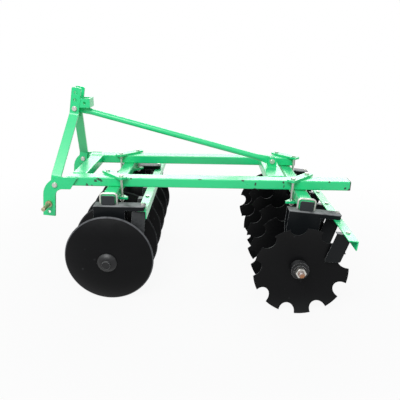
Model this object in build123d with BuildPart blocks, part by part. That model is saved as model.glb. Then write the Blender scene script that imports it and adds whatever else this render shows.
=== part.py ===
from build123d import *
import math
import os

# Mounted offset disc harrow with two gangs of six discs, standing on its discs.
# X points to the rear of the machine, Y to its right side, Z up. The origin lies on the
# floor at the centre of the outer size.

# Driving dimensions (mm)
# Discs and gangs
disc_diameter = 460.0
disc_thickness = 4.0
disc_depth = 45.0
disc_flat_radius = 52.0
disc_bevel = 6.0
disc_edge = 0.8
disc_spacing = 200.0
discs_per_gang = 6
notch_count = 9
notch_radius = 40.0
notch_inset = 3.0
notch_turn = 6.3
rear_quarter_turns = (0, 1, 1, 2, 2, 0)
gang_offset = 100.0
shaft_square = 28.0
square_clearance = 0.1
journal_radius = 25.0
running_clearance = 0.05
spool_flange_radius = 48.0
spool_flange_thickness = 10.0
spool_taper = 6.0
spool_body_radius = 30.0
bumper_radius = 50.0
bumper_height = 22.0
bumper_skirt = 5.5
bumper_shoulder_radius = 36.0
bumper_shoulder_height = 17.0
head_radius = 22.0
head_height = 11.0
shaft_end_chamfer = 2.0
end_washer_radius = 44.0
end_washer_thickness = 34.0
lock_washer_radius = 30.0
lock_washer_thickness = 5.0
nut_across_flats = 46.0
nut_height = 24.0
thread_radius = 14.0
thread_tail = 19.0

# Main frame of rectangular tube
frame_spacing = 500.0
tube_width = 80.0
tube_height = 50.0
tube_wall = 4.0
tube_corner = 6.0
left_tube_length = 1505.0
right_tube_length = 1305.0
tube_cap_thickness = 5.0
front_cross_back = 50.0
rear_cross_back = 1132.0
rear_cross_width = 100.0
rear_cross_wall = 6.0
rear_cross_bend = 10.0

# Gang beams and the clamps that hold them under the frame
beam_width = 70.0
beam_height = 50.0
beam_wall = 5.0
beam_corner = 9.0
beam_over_disc = 40.0
front_beam_back = 255.0
beam_distance = 996.0
beam_overhang = 16.0
cap_thickness = 4.0
cap_plug = 18.0
cap_taper = 15.0
clamp_width = 45.0
clamp_corner = 6.0
clamp_thickness = 12.0
clamp_end = 28.0
clamp_low_trim = 15.0
clamp_bolt_radius = 7.0
clamp_bolt_gap = 4.0
clamp_bolt_tail = 16.0

# Hangers that carry the gang bearings
hanger_width = 70.0
hanger_wall = 6.0
hanger_bend = 6.0
hanger_front = 74.0
hanger_arm = 190.0
hanger_tip_radius = 20.0
hanger_flange = 24.0
hanger_leg_rear = 86.0
hanger_leg_straight = 95.0
hanger_foot = 110.0
hanger_foot_thickness = 8.0
hanger_rim_gap = 12.0
front_hanger_pitches = 4
axle_setback = 4.0
rear_tilt = 5.0
rear_hanger_shift = -12.0
bearing_radius = 46.0
bearing_width = 44.0
bearing_neck = 64.0
bearing_pad = 10.0
bearing_top = 58.0
bearing_cover_radius = 36.0
bearing_cover = 4.0
bearing_bolt_reach = 44.0
u_bolt_radius = 6.0
u_bolt_bend = 15.0
u_bolt_tail = 24.0

# Scrapers
angle_size = 45.0
angle_wall = 5.0
angle_centre = 173.0
front_bar_left_overhang = 25.0
front_bar_right = 650.0
rear_bar_left = 730.0
rear_bar_right_overhang = 25.0
scraper_width = 65.5
scraper_low_width = 69.5
scraper_thickness = 4.0
scraper_tab = 34.0
scraper_stand_off = 58.0
scraper_lead = 50.0
scraper_turn = 15.0
scraper_drop = 182.0
scraper_rise = 18.0
scraper_sweep = 9.0
scraper_clearance = 9.0
scraper_corner = 10.0

# Three-point hitch
hitch_thickness = 12.0
hitch_band = 66.0
hitch_inner_radius = 40.0
hitch_leg = 119.0
hitch_lean = 5.0
hitch_arm = 44.0
hitch_arm_slant = 43.0
hitch_setback = 138.0
pin_up_leg = 70.0
pin_radius = 11.0
pin_length = 98.0
pin_chamfer = 2.0
pin_collar_radius = 18.0
pin_collar = 14.0
pin_nut_height = 18.0
linch_hole_radius = 5.5
linch_from_end = 11.0
drawbar_up_leg = 22.0
drawbar_hole_radius = 8.5

# Mast and brace
mast_width = 52.0
mast_thickness = 12.0
mast_lean = 9.4
mast_foot_ahead = 38.0
mast_foot_below = 42.0
mast_foot_tail = 32.0
mast_foot_flat = 46.0
mast_bend = 348.0
mast_top = 494.0
mast_head_outer = 90.0
mast_bend_radius = 25.0
mast_corner = 10.0
link_hole_radius = 9.75
link_hole_from_top = 28.0
link_hole_pitch = 41.0
brace_hole_from_top = 118.0
bolt_radius = 8.0
bolt_clearance = 0.5
# hexagon heads and nuts, each as a multiple of the shank's radius
hex_corners = 1.75
head_height_ratio = 1.25
nut_height_ratio = 1.5
bolt_tail_ratio = 2.0
mast_bracket_rear = 62.0
mast_bracket_height = 50.0
mast_bracket_over_bolt = 6.0
mast_bracket_wall = 9.0
mast_bracket_hole_radius = 8.0
spacer_radius = 12.0
spacer_bore_radius = 6.0
spacer_below_bend = 24.0
brace_radius = 17.0
brace_wall = 3.2
brace_tongue = 14.0
brace_tongue_corner = 6.5
brace_tongue_height = 44.0
brace_flat = 34.0
brace_taper = 60.0
ear_length = 52.0
ear_thickness = 10.0
ear_base = 8.0
ear_bolt_height = 34.0
ear_gap = 1.0

# Worked-out places
axle_z = disc_diameter / 2
tube_bottom = disc_diameter + beam_over_disc + beam_height
tube_mid = tube_bottom + tube_height / 2
tube_top = tube_bottom + tube_height
overall_length = hitch_setback + left_tube_length + tube_cap_thickness
toe_x = -overall_length / 2
tube_front_x = toe_x + hitch_setback
frame_y = (rear_bar_left - front_bar_right) / 2
tube_side = frame_spacing / 2
front_beam_x = tube_front_x + front_beam_back
rear_beam_x = front_beam_x + beam_distance
rear_cross_x = tube_front_x + rear_cross_back
bar_y = mast_head_outer / 2
gang_reach = disc_spacing * (discs_per_gang - 1) / 2
tilt = math.radians(rear_tilt)
rear_beam_half = beam_height / 2 * math.cos(tilt) + beam_width / 2 * math.sin(tilt)
cup_radius = ((disc_diameter / 2 - disc_flat_radius) ** 2 + disc_depth**2) / (2 * disc_depth)

LEFT, RIGHT = -1, 1


class Gang:
    """One gang: where its beam, hangers, axle and discs are."""

    def __init__(self, name, beam_x, beam_mid_z, tilt, shift, rim_mid_y, hub_side):
        self.name = name
        self.tilt = tilt
        self.hub_side = hub_side
        self.beam_x = beam_x
        self.beam_mid_z = beam_mid_z
        self.shift = shift
        # seat: middle of the beam's lower face, seen along the tilted beam
        self.seat_x = beam_x - beam_height / 2 * math.sin(tilt)
        self.seat_z = beam_mid_z - beam_height / 2 * math.cos(tilt)
        self.axle_u = axle_setback + shift
        self.drop = (self.seat_z - self.axle_u * math.sin(tilt) - axle_z) / math.cos(tilt)
        self.axle_x = self.seat_x + self.axle_u * math.cos(tilt) - self.drop * math.sin(tilt)
        self.rims = [rim_mid_y - gang_reach + disc_spacing * k for k in range(discs_per_gang)]
        # middles of the scraper tabs; a hanger arm over a tab shares its bolt
        self.tabs = [rim - hub_side * scraper_stand_off + scraper_tab / 2 for rim in self.rims]
        if hub_side == LEFT:
            self.arm_tabs = [self.tabs[0], self.tabs[front_hanger_pitches]]
            self.hangers = self.arm_tabs
        else:
            self.arm_tabs = [self.tabs[1], self.tabs[-1]]
            before_rim = hanger_width / 2 + hanger_rim_gap
            self.hangers = [self.rims[1] - before_rim, self.rims[-1] - before_rim]

    def side_plane(self, y):
        """Plane across the machine at y, its X along the tilted gang frame."""
        return Plane(
            origin=(self.seat_x, y, self.seat_z),
            x_dir=(math.cos(self.tilt), 0, -math.sin(self.tilt)),
            z_dir=(0, -1, 0),
        )


front = Gang("front", front_beam_x, tube_bottom - beam_height / 2, 0.0, 0.0, frame_y, LEFT)
rear = Gang(
    "rear", rear_beam_x, tube_bottom - rear_beam_half, tilt, rear_hanger_shift, frame_y - gang_offset, RIGHT
)
gangs = [front, rear]


def side_view(y):
    """Sketch plane across the machine at y: sketch X is X, sketch Y is Z, it extrudes to the left."""
    return Plane(origin=(0, y, 0), x_dir=(1, 0, 0), z_dir=(0, -1, 0))


def save(piece, name):
    """Label one finished piece and write it to its own file."""
    piece.part.label = name
    export_step(piece.part, f"parts/{name}.step")


def tube_section(width, height, wall, corner):
    """Section of a rectangular tube, drawn in the sketch that is open."""
    RectangleRounded(width, height, corner)
    RectangleRounded(width - 2 * wall, height - 2 * wall, corner - wall, mode=Mode.SUBTRACT)


os.makedirs("parts", exist_ok=True)

# Main frame
for name, side, length in (
    ("frame_tube_left", LEFT, left_tube_length),
    ("frame_tube_right", RIGHT, right_tube_length),
):
    with BuildPart() as tube:
        with BuildSketch(Plane.YZ.offset(tube_front_x)):
            with Locations((frame_y + side * tube_side, tube_mid)):
                tube_section(tube_width, tube_height, tube_wall, tube_corner)
        extrude(amount=length)
    save(tube, name)

inner_face = tube_side - tube_width / 2

with BuildPart() as front_cross_tube:
    with BuildSketch(side_view(frame_y + inner_face)):
        with Locations((tube_front_x + front_cross_back, tube_mid)):
            tube_section(tube_width, tube_height, tube_wall, tube_corner)
    extrude(amount=2 * inner_face)
save(front_cross_tube, "front_cross_tube")

# Folded channel, open downwards
with BuildPart() as rear_cross_member:
    with BuildSketch(side_view(frame_y + inner_face)):
        with BuildLine():
            fold = FilletPolyline(
                (rear_cross_x - rear_cross_width / 2, tube_bottom),
                (rear_cross_x - rear_cross_width / 2, tube_top),
                (rear_cross_x + rear_cross_width / 2, tube_top),
                (rear_cross_x + rear_cross_width / 2, tube_bottom),
                radius=rear_cross_bend,
            )
            offset(fold, amount=rear_cross_wall, side=Side.RIGHT)
        make_face()
    extrude(amount=2 * inner_face)
save(rear_cross_member, "rear_cross_member")

# Hitch plates and lower pins
lean = math.radians(hitch_lean)
hitch_outer_radius = hitch_inner_radius + hitch_band
arc_x = toe_x + hitch_outer_radius * math.cos(lean) + hitch_leg * math.sin(lean)
arc_z = tube_top - hitch_outer_radius
plate_inside = tube_side + tube_width / 2


def on_leg(up, across):
    """Point on the hitch leg: up from its lower end, across from its front edge."""
    reach = hitch_outer_radius - across
    down = hitch_leg - up
    return (
        arc_x - reach * math.cos(lean) - down * math.sin(lean),
        arc_z + reach * math.sin(lean) - down * math.cos(lean),
    )


pin_x, pin_z = on_leg(pin_up_leg, hitch_band / 2)
drawbar_x, drawbar_z = on_leg(drawbar_up_leg, hitch_band / 2)
foot_x = arc_x - mast_foot_ahead
foot_z = tube_top - mast_foot_below


for name, side in (("hitch_plate_left", LEFT), ("hitch_plate_right", RIGHT)):
    left_most = frame_y + side * plate_inside - (hitch_thickness if side == LEFT else 0)
    with BuildPart() as hitch_plate:
        with BuildSketch(side_view(left_most + hitch_thickness)):
            with BuildLine():
                top = (arc_x, tube_top)
                rear_top = (arc_x + hitch_arm + hitch_arm_slant, tube_top)
                rear_low = (arc_x + hitch_arm, arc_z + hitch_inner_radius)
                low = (arc_x, arc_z + hitch_inner_radius)
                turn = (90 - hitch_lean) / 2 + hitch_lean
                bisector = math.radians(180 - turn)
                outer_mid = (
                    arc_x + hitch_outer_radius * math.cos(bisector),
                    arc_z + hitch_outer_radius * math.sin(bisector),
                )
                inner_mid = (
                    arc_x + hitch_inner_radius * math.cos(bisector),
                    arc_z + hitch_inner_radius * math.sin(bisector),
                )
                Polyline(top, rear_top, rear_low, low)
                ThreePointArc(low, inner_mid, on_leg(hitch_leg, hitch_band))
                inner_end, outer_end = on_leg(hitch_leg, hitch_band), on_leg(hitch_leg, 0)
                Polyline(inner_end, on_leg(0, hitch_band), on_leg(0, 0), outer_end)
                ThreePointArc(on_leg(hitch_leg, 0), outer_mid, top)
            make_face()
            with Locations((pin_x, pin_z)):
                Circle(pin_radius + square_clearance, mode=Mode.SUBTRACT)
            with Locations((drawbar_x, drawbar_z)):
                Circle(drawbar_hole_radius, mode=Mode.SUBTRACT)
            with Locations((foot_x, foot_z)):
                Circle(bolt_radius + bolt_clearance, mode=Mode.SUBTRACT)
        extrude(amount=hitch_thickness)
    save(hitch_plate, name)

for name, side in (("lower_pin_left", LEFT), ("lower_pin_right", RIGHT)):
    outside = frame_y + side * (plate_inside + hitch_thickness)
    outward = Plane(origin=(pin_x, outside, pin_z), x_dir=(1, 0, 0), z_dir=(0, side, 0))
    with BuildPart() as lower_pin:
        with BuildSketch(outward.offset(-hitch_thickness - pin_nut_height)):
            Circle(pin_radius)
        extrude(amount=hitch_thickness + pin_nut_height + pin_length)
        chamfer(lower_pin.faces().sort_by(Axis.Y)[-1 if side == RIGHT else 0].edges(), pin_chamfer)
        with BuildSketch(outward):
            Circle(pin_collar_radius)
        extrude(amount=pin_collar)
        with BuildSketch(outward.offset(-hitch_thickness)):
            RegularPolygon(pin_collar_radius, 6)
        extrude(amount=-pin_nut_height)
        with BuildSketch(Plane.XY.offset(pin_z - 2 * pin_radius)):
            with Locations((pin_x, outside + side * (pin_length - linch_from_end))):
                Circle(linch_hole_radius)
        extrude(amount=4 * pin_radius, mode=Mode.SUBTRACT)
    save(lower_pin, name)

# Mast
back = math.radians(mast_lean)
mast_up = (math.sin(back), 0, math.cos(back))
mast_across = (math.cos(back), 0, -math.sin(back))


def on_mast(up, across=0.0):
    """Point of the mast in side view: up from the foot bolt, across towards the rear."""
    return (
        foot_x + up * mast_up[0] + across * mast_across[0],
        foot_z + up * mast_up[2] + across * mast_across[2],
    )


brace_bolt_up = mast_top - brace_hole_from_top
brace_bolt_x, brace_bolt_z = on_mast(brace_bolt_up)
link_holes = [mast_top - link_hole_from_top - link_hole_pitch * k for k in range(2)]
splay = math.atan2(plate_inside - bar_y, mast_bend - mast_foot_flat)

for name, side in (("mast_bar_left", LEFT), ("mast_bar_right", RIGHT)):
    foot = frame_y + side * plate_inside
    head = frame_y + side * bar_y
    front_edge = Plane(
        origin=(on_mast(0, -mast_width / 2)[0], 0, on_mast(0, -mast_width / 2)[1]),
        x_dir=(0, 1, 0),
        z_dir=mast_across,
    )
    with BuildPart() as mast_bar:
        with BuildSketch(front_edge):
            with BuildLine():
                spine = FilletPolyline(
                    (foot, -mast_foot_tail),
                    (foot, mast_foot_flat),
                    (head, mast_bend),
                    (head, mast_top),
                    radius=mast_bend_radius,
                )
                offset(spine, amount=mast_thickness, side=Side.RIGHT if side == LEFT else Side.LEFT)
            make_face()
        extrude(amount=mast_width)
        ends = mast_bar.faces().sort_by(Axis((0, 0, 0), mast_up))
        fillet((ends[0].edges() + ends[-1].edges()).filter_by(Axis.Y), mast_corner)
        bolt_hole_radius = bolt_radius + bolt_clearance
        bar_holes = [(0, bolt_hole_radius), (brace_bolt_up, bolt_hole_radius)]
        bar_holes += [(up, link_hole_radius) for up in link_holes]
        for up, radius in bar_holes:
            hole_y = foot if up == 0 else head
            with BuildSketch(side_view(hole_y + 2 * mast_thickness)):
                with Locations(on_mast(up)):
                    Circle(radius)
            extrude(amount=4 * mast_thickness, mode=Mode.SUBTRACT)
    save(mast_bar, name)

# Bracket closed at the rear, welded to the rear edges of the mast bars
bracket_low = brace_bolt_z + mast_bracket_over_bolt
bracket_high = bracket_low + mast_bracket_height


def mast_rear_edge(z):
    """X of the rear edge of the mast bars at height z."""
    up = (z - foot_z + mast_width / 2 * math.sin(back)) / math.cos(back)
    return on_mast(up, mast_width / 2)[0]


bracket_rear = mast_rear_edge(bracket_low) + mast_bracket_rear
with BuildPart() as mast_bracket:
    with BuildSketch(side_view(frame_y + bar_y)):
        with BuildLine():
            Polyline(
                (mast_rear_edge(bracket_low), bracket_low),
                (bracket_rear, bracket_low),
                (bracket_rear, bracket_high),
                (mast_rear_edge(bracket_high), bracket_high),
                close=True,
            )
        make_face()
    extrude(amount=2 * bar_y)
    with BuildSketch(side_view(frame_y + bar_y - mast_bracket_wall)):
        with Locations(((bracket_rear - mast_bracket_wall + toe_x) / 2, bracket_low)):
            Rectangle(bracket_rear - mast_bracket_wall - toe_x, 4 * mast_bracket_height)
    extrude(amount=2 * (bar_y - mast_bracket_wall), mode=Mode.SUBTRACT)
    with BuildSketch(side_view(frame_y + 2 * bar_y)):
        with Locations(((mast_rear_edge(bracket_low) + bracket_rear) / 2, (bracket_low + bracket_high) / 2)):
            Circle(mast_bracket_hole_radius)
    extrude(amount=4 * bar_y, mode=Mode.SUBTRACT)
save(mast_bracket, "mast_bracket")

# Spacer tube between the bars just below their bend, its ends cut to their slope
spacer_x, spacer_z = on_mast(mast_bend - spacer_below_bend)
with BuildPart() as mast_spacer:
    with BuildSketch(side_view(frame_y + plate_inside)):
        with Locations((spacer_x, spacer_z)):
            Circle(spacer_radius)
            Circle(spacer_bore_radius, mode=Mode.SUBTRACT)
    extrude(amount=2 * plate_inside)
    for side in (LEFT, RIGHT):
        corner_up = mast_bend - mast_thickness * math.tan(splay / 2)
        corner = (on_mast(corner_up)[0], frame_y + side * (bar_y - mast_thickness), on_mast(corner_up)[1])
        face_normal = (
            mast_up[0] * math.sin(splay),
            side * math.cos(splay),
            mast_up[2] * math.sin(splay),
        )
        split(bisect_by=Plane(origin=corner, z_dir=face_normal), keep=Keep.BOTTOM)
save(mast_spacer, "mast_spacer")

# Brace from the mast to the rear member
ear_bolt_x = rear_cross_x
ear_bolt_z = tube_top + ear_bolt_height
run_x = ear_bolt_x - brace_bolt_x
run_z = ear_bolt_z - brace_bolt_z
brace_length = math.hypot(run_x, run_z)
brace_axis = (run_x / brace_length, 0, run_z / brace_length)


def brace_section(along):
    """Plane across the brace, along from its upper bolt, sketch Y upright."""
    return Plane(
        origin=(brace_bolt_x + along * brace_axis[0], frame_y, brace_bolt_z + along * brace_axis[2]),
        x_dir=(0, 1, 0),
        z_dir=brace_axis,
    )


pipe_start = brace_flat + brace_taper
with BuildPart() as brace:
    with BuildSketch(brace_section(pipe_start)):
        Circle(brace_radius)
        Circle(brace_radius - brace_wall, mode=Mode.SUBTRACT)
    extrude(amount=brace_length - 2 * pipe_start)
    mast_taper = (brace_flat, pipe_start)
    ear_taper = (brace_length - brace_flat, brace_length - pipe_start)
    for flat_end, pipe_end in (mast_taper, ear_taper):
        with BuildSketch(brace_section(flat_end)):
            RectangleRounded(brace_tongue, brace_tongue_height, brace_tongue_corner)
        with BuildSketch(brace_section(pipe_end)):
            Circle(brace_radius)
        loft()
    along_brace = Plane(
        origin=(brace_bolt_x, frame_y + brace_tongue / 2, brace_bolt_z), x_dir=brace_axis, z_dir=(0, -1, 0)
    )
    for eye, way in ((0, 1), (brace_length, -1)):
        with BuildSketch(along_brace):
            with Locations((eye, 0)):
                Circle(brace_tongue_height / 2)
            with Locations((eye + way * brace_flat / 2, 0)):
                Rectangle(brace_flat, brace_tongue_height)
            with Locations((eye, 0)):
                Circle(bolt_radius + bolt_clearance, mode=Mode.SUBTRACT)
        extrude(amount=brace_tongue)
save(brace, "brace")

ear_inside = brace_tongue / 2 + ear_gap
with BuildPart() as brace_ears:
    for side in (LEFT, RIGHT):
        near = frame_y + side * ear_inside - (ear_thickness if side == LEFT else 0)
        with BuildSketch(side_view(near + ear_thickness)):
            with Locations((ear_bolt_x, tube_top + ear_bolt_height / 2)):
                Rectangle(ear_length, ear_bolt_height)
            with Locations((ear_bolt_x, ear_bolt_z)):
                Circle(ear_length / 2)
                Circle(bolt_radius + bolt_clearance, mode=Mode.SUBTRACT)
        extrude(amount=ear_thickness)
    with BuildSketch(Plane.XY.offset(tube_top)):
        with Locations((ear_bolt_x, frame_y)):
            Rectangle(ear_length, 2 * (ear_inside + ear_thickness))
    extrude(amount=ear_base)
save(brace_ears, "brace_ears")


def cross_bolt(x, z, left_y, right_y, radius):
    """Hexagon bolt across the machine with its head on the left and nut on the right."""
    with BuildSketch(side_view(right_y + bolt_tail_ratio * radius)) as shank:
        with Locations((x, z)):
            Circle(radius)
    extrude(shank.sketch, amount=right_y - left_y + bolt_tail_ratio * radius)
    with BuildSketch(side_view(left_y)) as head:
        with Locations((x, z)):
            RegularPolygon(hex_corners * radius, 6)
    extrude(head.sketch, amount=head_height_ratio * radius)
    with BuildSketch(side_view(right_y + nut_height_ratio * radius)) as nut:
        with Locations((x, z)):
            RegularPolygon(hex_corners * radius, 6)
    extrude(nut.sketch, amount=nut_height_ratio * radius)


def upright_bolt(top, radius, grip, tail):
    """Hexagon bolt with its head on the plane top and its nut below the pieces it grips."""
    with BuildSketch(top) as shank:
        Circle(radius)
    extrude(shank.sketch, amount=-grip - tail)
    with BuildSketch(top) as head:
        RegularPolygon(hex_corners * radius, 6)
    extrude(head.sketch, amount=head_height_ratio * radius)
    with BuildSketch(top.offset(-grip)) as nut:
        RegularPolygon(hex_corners * radius, 6)
    extrude(nut.sketch, amount=-nut_height_ratio * radius)


with BuildPart() as mast_bolts:
    cross_bolt(brace_bolt_x, brace_bolt_z, frame_y - bar_y, frame_y + bar_y, bolt_radius)
    cross_bolt(
        foot_x,
        foot_z,
        frame_y - plate_inside - hitch_thickness,
        frame_y - plate_inside + mast_thickness,
        bolt_radius,
    )
    cross_bolt(
        foot_x,
        foot_z,
        frame_y + plate_inside - mast_thickness,
        frame_y + plate_inside + hitch_thickness,
        bolt_radius,
    )
    ear_outside = ear_inside + ear_thickness
    cross_bolt(ear_bolt_x, ear_bolt_z, frame_y - ear_outside, frame_y + ear_outside, bolt_radius)
save(mast_bolts, "mast_bolts")

# Clamps at the four crossings
bolt_dx = beam_width / 2 + clamp_bolt_gap + clamp_bolt_radius
bolt_dy = tube_width / 2 + clamp_bolt_gap + clamp_bolt_radius
clamp_length = 2 * (math.hypot(bolt_dx, bolt_dy) + clamp_end)


def crossings():
    """Each crossing of a gang beam with a frame tube, and the way its clamp lies."""
    for gang in gangs:
        for side in (LEFT, RIGHT):
            lies = side if gang is front else -side
            angle = math.degrees(math.atan2(bolt_dy, bolt_dx)) * lies
            yield gang, gang.beam_x, frame_y + side * tube_side, angle, lies


def clamp_bar(x, y, angle, lies):
    """Diagonal flat bar with a hole for each bolt, drawn around the crossing."""
    with Locations(Location((x, y, 0), (0, 0, angle))):
        RectangleRounded(clamp_length, clamp_width, clamp_corner)
    with Locations((x + bolt_dx, y + lies * bolt_dy), (x - bolt_dx, y - lies * bolt_dy)):
        Circle(clamp_bolt_radius + bolt_clearance, mode=Mode.SUBTRACT)


with BuildPart() as clamp_top_bars:
    with BuildSketch(Plane.XY.offset(tube_top)):
        for gang, x, y, angle, lies in crossings():
            clamp_bar(x, y, angle, lies)
    extrude(amount=clamp_thickness)
save(clamp_top_bars, "clamp_top_bars")


def beam_low(gang):
    """Height of the lowest edge of a gang beam."""
    return 2 * gang.beam_mid_z - tube_bottom


with BuildPart() as clamp_low_bars:
    for chosen in gangs:
        with BuildSketch(Plane.XY.offset(beam_low(chosen) - clamp_thickness)):
            for gang, x, y, angle, lies in crossings():
                if gang is chosen:
                    clamp_bar(x, y, angle, lies)
            # the low bars are cut off square with the beam just outside their bolts
            cut_off = bolt_dy + clamp_low_trim + clamp_length
            for side in (LEFT, RIGHT):
                tube_y = frame_y + side * tube_side
                with Locations((chosen.beam_x, tube_y - cut_off), (chosen.beam_x, tube_y + cut_off)):
                    Rectangle(3 * clamp_length, 2 * clamp_length, mode=Mode.SUBTRACT)
        extrude(amount=clamp_thickness)
save(clamp_low_bars, "clamp_low_bars")

with BuildPart() as clamp_bolts:
    for gang, x, y, angle, lies in crossings():
        grip = tube_top + 2 * clamp_thickness - beam_low(gang)
        for spot_x, spot_y in ((x + bolt_dx, y + lies * bolt_dy), (x - bolt_dx, y - lies * bolt_dy)):
            head_seat = Plane(origin=(spot_x, spot_y, tube_top + clamp_thickness))
            upright_bolt(head_seat, clamp_bolt_radius, grip, clamp_bolt_tail)
save(clamp_bolts, "clamp_bolts")

# Gang beams
for gang in gangs:
    left_end = gang.hangers[0] - beam_overhang
    right_end = gang.hangers[1] + beam_overhang
    with BuildPart() as gang_beam:
        with BuildSketch(gang.side_plane(right_end)):
            with Locations((0, beam_height / 2)):
                tube_section(beam_width, beam_height, beam_wall, beam_corner)
        extrude(amount=right_end - left_end)
    save(gang_beam, f"{gang.name}_beam")


def end_cap(mouth, width, height, wall, corner, thickness):
    """Plastic cap on a tube: mouth is the plane of the tube's end, facing outwards."""
    with BuildSketch(mouth) as lid:
        RectangleRounded(width, height, corner)
    extrude(lid.sketch, amount=thickness, taper=cap_taper)
    inside = 2 * wall + 2 * square_clearance
    with BuildSketch(mouth) as plug:
        RectangleRounded(width - inside, height - inside, corner - wall + square_clearance)
    extrude(plug.sketch, amount=-cap_plug)


with BuildPart() as beam_caps:
    for gang in gangs:
        for side, end in ((LEFT, gang.hangers[0] - beam_overhang), (RIGHT, gang.hangers[1] + beam_overhang)):
            centre = gang.side_plane(end).from_local_coords((0, beam_height / 2, 0))
            mouth = Plane(origin=centre, x_dir=gang.side_plane(end).x_dir, z_dir=(0, side, 0))
            end_cap(mouth, beam_width, beam_height, beam_wall, beam_corner, cap_thickness)
save(beam_caps, "beam_caps")

with BuildPart() as tube_caps:
    for side, length in ((LEFT, left_tube_length), (RIGHT, right_tube_length)):
        centre = (tube_front_x + length, frame_y + side * tube_side, tube_mid)
        mouth = Plane(origin=centre, x_dir=(0, 1, 0), z_dir=(1, 0, 0))
        end_cap(mouth, tube_width, tube_height, tube_wall, tube_corner, tube_cap_thickness)
save(tube_caps, "tube_caps")

# Hangers, U-bolts and bearings
for gang in gangs:
    foot_low = -(gang.drop - bearing_top)
    leg_knee = -hanger_leg_straight
    u_shift = gang.shift
    foot_front = gang.axle_u - hanger_foot / 2
    foot_rear = gang.axle_u + hanger_foot / 2
    arm_end = hanger_arm + u_shift
    along = Axis((0, 0, 0), gang.side_plane(0).x_dir)
    upward = Axis((0, 0, 0), gang.side_plane(0).y_dir)
    for side_name, y, bolt_y in zip(("left", "right"), gang.hangers, gang.arm_tabs):
        with BuildPart() as hanger:
            with BuildSketch(gang.side_plane(y + hanger_width / 2)):
                with BuildLine():
                    Polyline(
                        (u_shift - hanger_front, 0),
                        (arm_end, 0),
                        (arm_end, -hanger_flange),
                        (u_shift + hanger_leg_rear, -hanger_flange),
                        (u_shift + hanger_leg_rear, leg_knee),
                        (foot_rear, foot_low),
                        (foot_front, foot_low),
                        (u_shift - hanger_front, leg_knee),
                        close=True,
                    )
                make_face()
            extrude(amount=hanger_width)
            fillet(hanger.faces().sort_by(along)[-1].edges().filter_by(upward), hanger_tip_radius)
            fillet(hanger.faces().sort_by(upward)[-1].edges().filter_by(along), hanger_bend)
            with BuildSketch(gang.side_plane(y + hanger_width / 2 - hanger_wall)):
                with BuildLine():
                    Polyline(
                        (u_shift - 2 * hanger_front, -hanger_wall),
                        (u_shift + 2 * hanger_arm, -hanger_wall),
                        (u_shift + 2 * hanger_arm, foot_low + hanger_foot_thickness),
                        (u_shift - 2 * hanger_front, foot_low + hanger_foot_thickness),
                        close=True,
                    )
                make_face()
            extrude(amount=hanger_width - 2 * hanger_wall, mode=Mode.SUBTRACT)
            seat = Plane(
                origin=gang.side_plane(y).from_local_coords((0, 0, 0)),
                x_dir=gang.side_plane(y).x_dir,
                z_dir=gang.side_plane(y).y_dir,
            )
            with BuildSketch(seat.offset(-2 * hanger_wall)):
                bolt_u = beam_width / 2 + u_bolt_radius + bolt_clearance
                with Locations((bolt_u, 0), (-bolt_u, 0), (angle_centre + u_shift, bolt_y - y)):
                    Circle(u_bolt_radius + bolt_clearance)
            extrude(amount=4 * hanger_wall, mode=Mode.SUBTRACT)
            foot_bolts = [(gang.axle_u + way * bearing_bolt_reach, 0) for way in (-1, 1)]
            with BuildSketch(seat.offset(foot_low - hanger_foot_thickness)):
                with Locations(*foot_bolts):
                    Circle(u_bolt_radius + bolt_clearance)
            extrude(amount=3 * hanger_foot_thickness, mode=Mode.SUBTRACT)
        save(hanger, f"{gang.name}_hanger_{side_name}")

        # housing with a cover on each side, bolted under the foot
        with BuildPart() as bearing:
            with BuildSketch(gang.side_plane(y + bearing_width / 2)):
                with Locations((gang.axle_u, -gang.drop)):
                    Circle(bearing_radius)
                with Locations((gang.axle_u, -gang.drop + bearing_top / 2)):
                    Rectangle(bearing_neck, bearing_top)
                with Locations((gang.axle_u, -gang.drop + bearing_top - bearing_pad / 2)):
                    Rectangle(hanger_foot, bearing_pad)
            extrude(amount=bearing_width)
            with BuildSketch(gang.side_plane(y + bearing_width / 2 + bearing_cover)):
                with Locations((gang.axle_u, -gang.drop)):
                    Circle(bearing_cover_radius)
            extrude(amount=bearing_width + 2 * bearing_cover)
            with BuildSketch(gang.side_plane(y + bearing_width)):
                with Locations((gang.axle_u, -gang.drop)):
                    Circle(journal_radius + running_clearance)
            extrude(amount=2 * bearing_width, mode=Mode.SUBTRACT)
            with BuildSketch(seat.offset(foot_low - 2 * bearing_pad)):
                with Locations(*foot_bolts):
                    Circle(u_bolt_radius + bolt_clearance)
            extrude(amount=2 * bearing_pad, mode=Mode.SUBTRACT)
        save(bearing, f"{gang.name}_bearing_{side_name}")

with BuildPart() as u_bolts:
    for gang in gangs:
        for y in gang.hangers:
            rod_u = beam_width / 2 + u_bolt_radius + bolt_clearance
            rod_top = beam_height + u_bolt_radius
            low = -hanger_wall - u_bolt_tail
            with BuildLine(gang.side_plane(y)) as bend:
                rod_corners = ((-rod_u, low), (-rod_u, rod_top), (rod_u, rod_top), (rod_u, low))
                FilletPolyline(*rod_corners, radius=u_bolt_bend)
            start = Plane(origin=bend.line @ 0, z_dir=bend.line % 0)
            with BuildSketch(start):
                Circle(u_bolt_radius)
            sweep(path=bend.line)
            for u in (-rod_u, rod_u):
                under = gang.side_plane(y).from_local_coords((u, -hanger_wall, 0))
                with BuildSketch(Plane(origin=under, x_dir=(0, 1, 0), z_dir=gang.side_plane(y).y_dir)):
                    RegularPolygon(hex_corners * u_bolt_radius, 6)
                extrude(amount=-nut_height_ratio * u_bolt_radius)
save(u_bolts, "u_bolts")

# Scraper bars and scrapers
bar_ends = {
    "front": (front.hangers[0] - front_bar_left_overhang, frame_y + front_bar_right),
    "rear": (frame_y - rear_bar_left, rear.hangers[1] + rear_bar_right_overhang),
}


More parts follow.
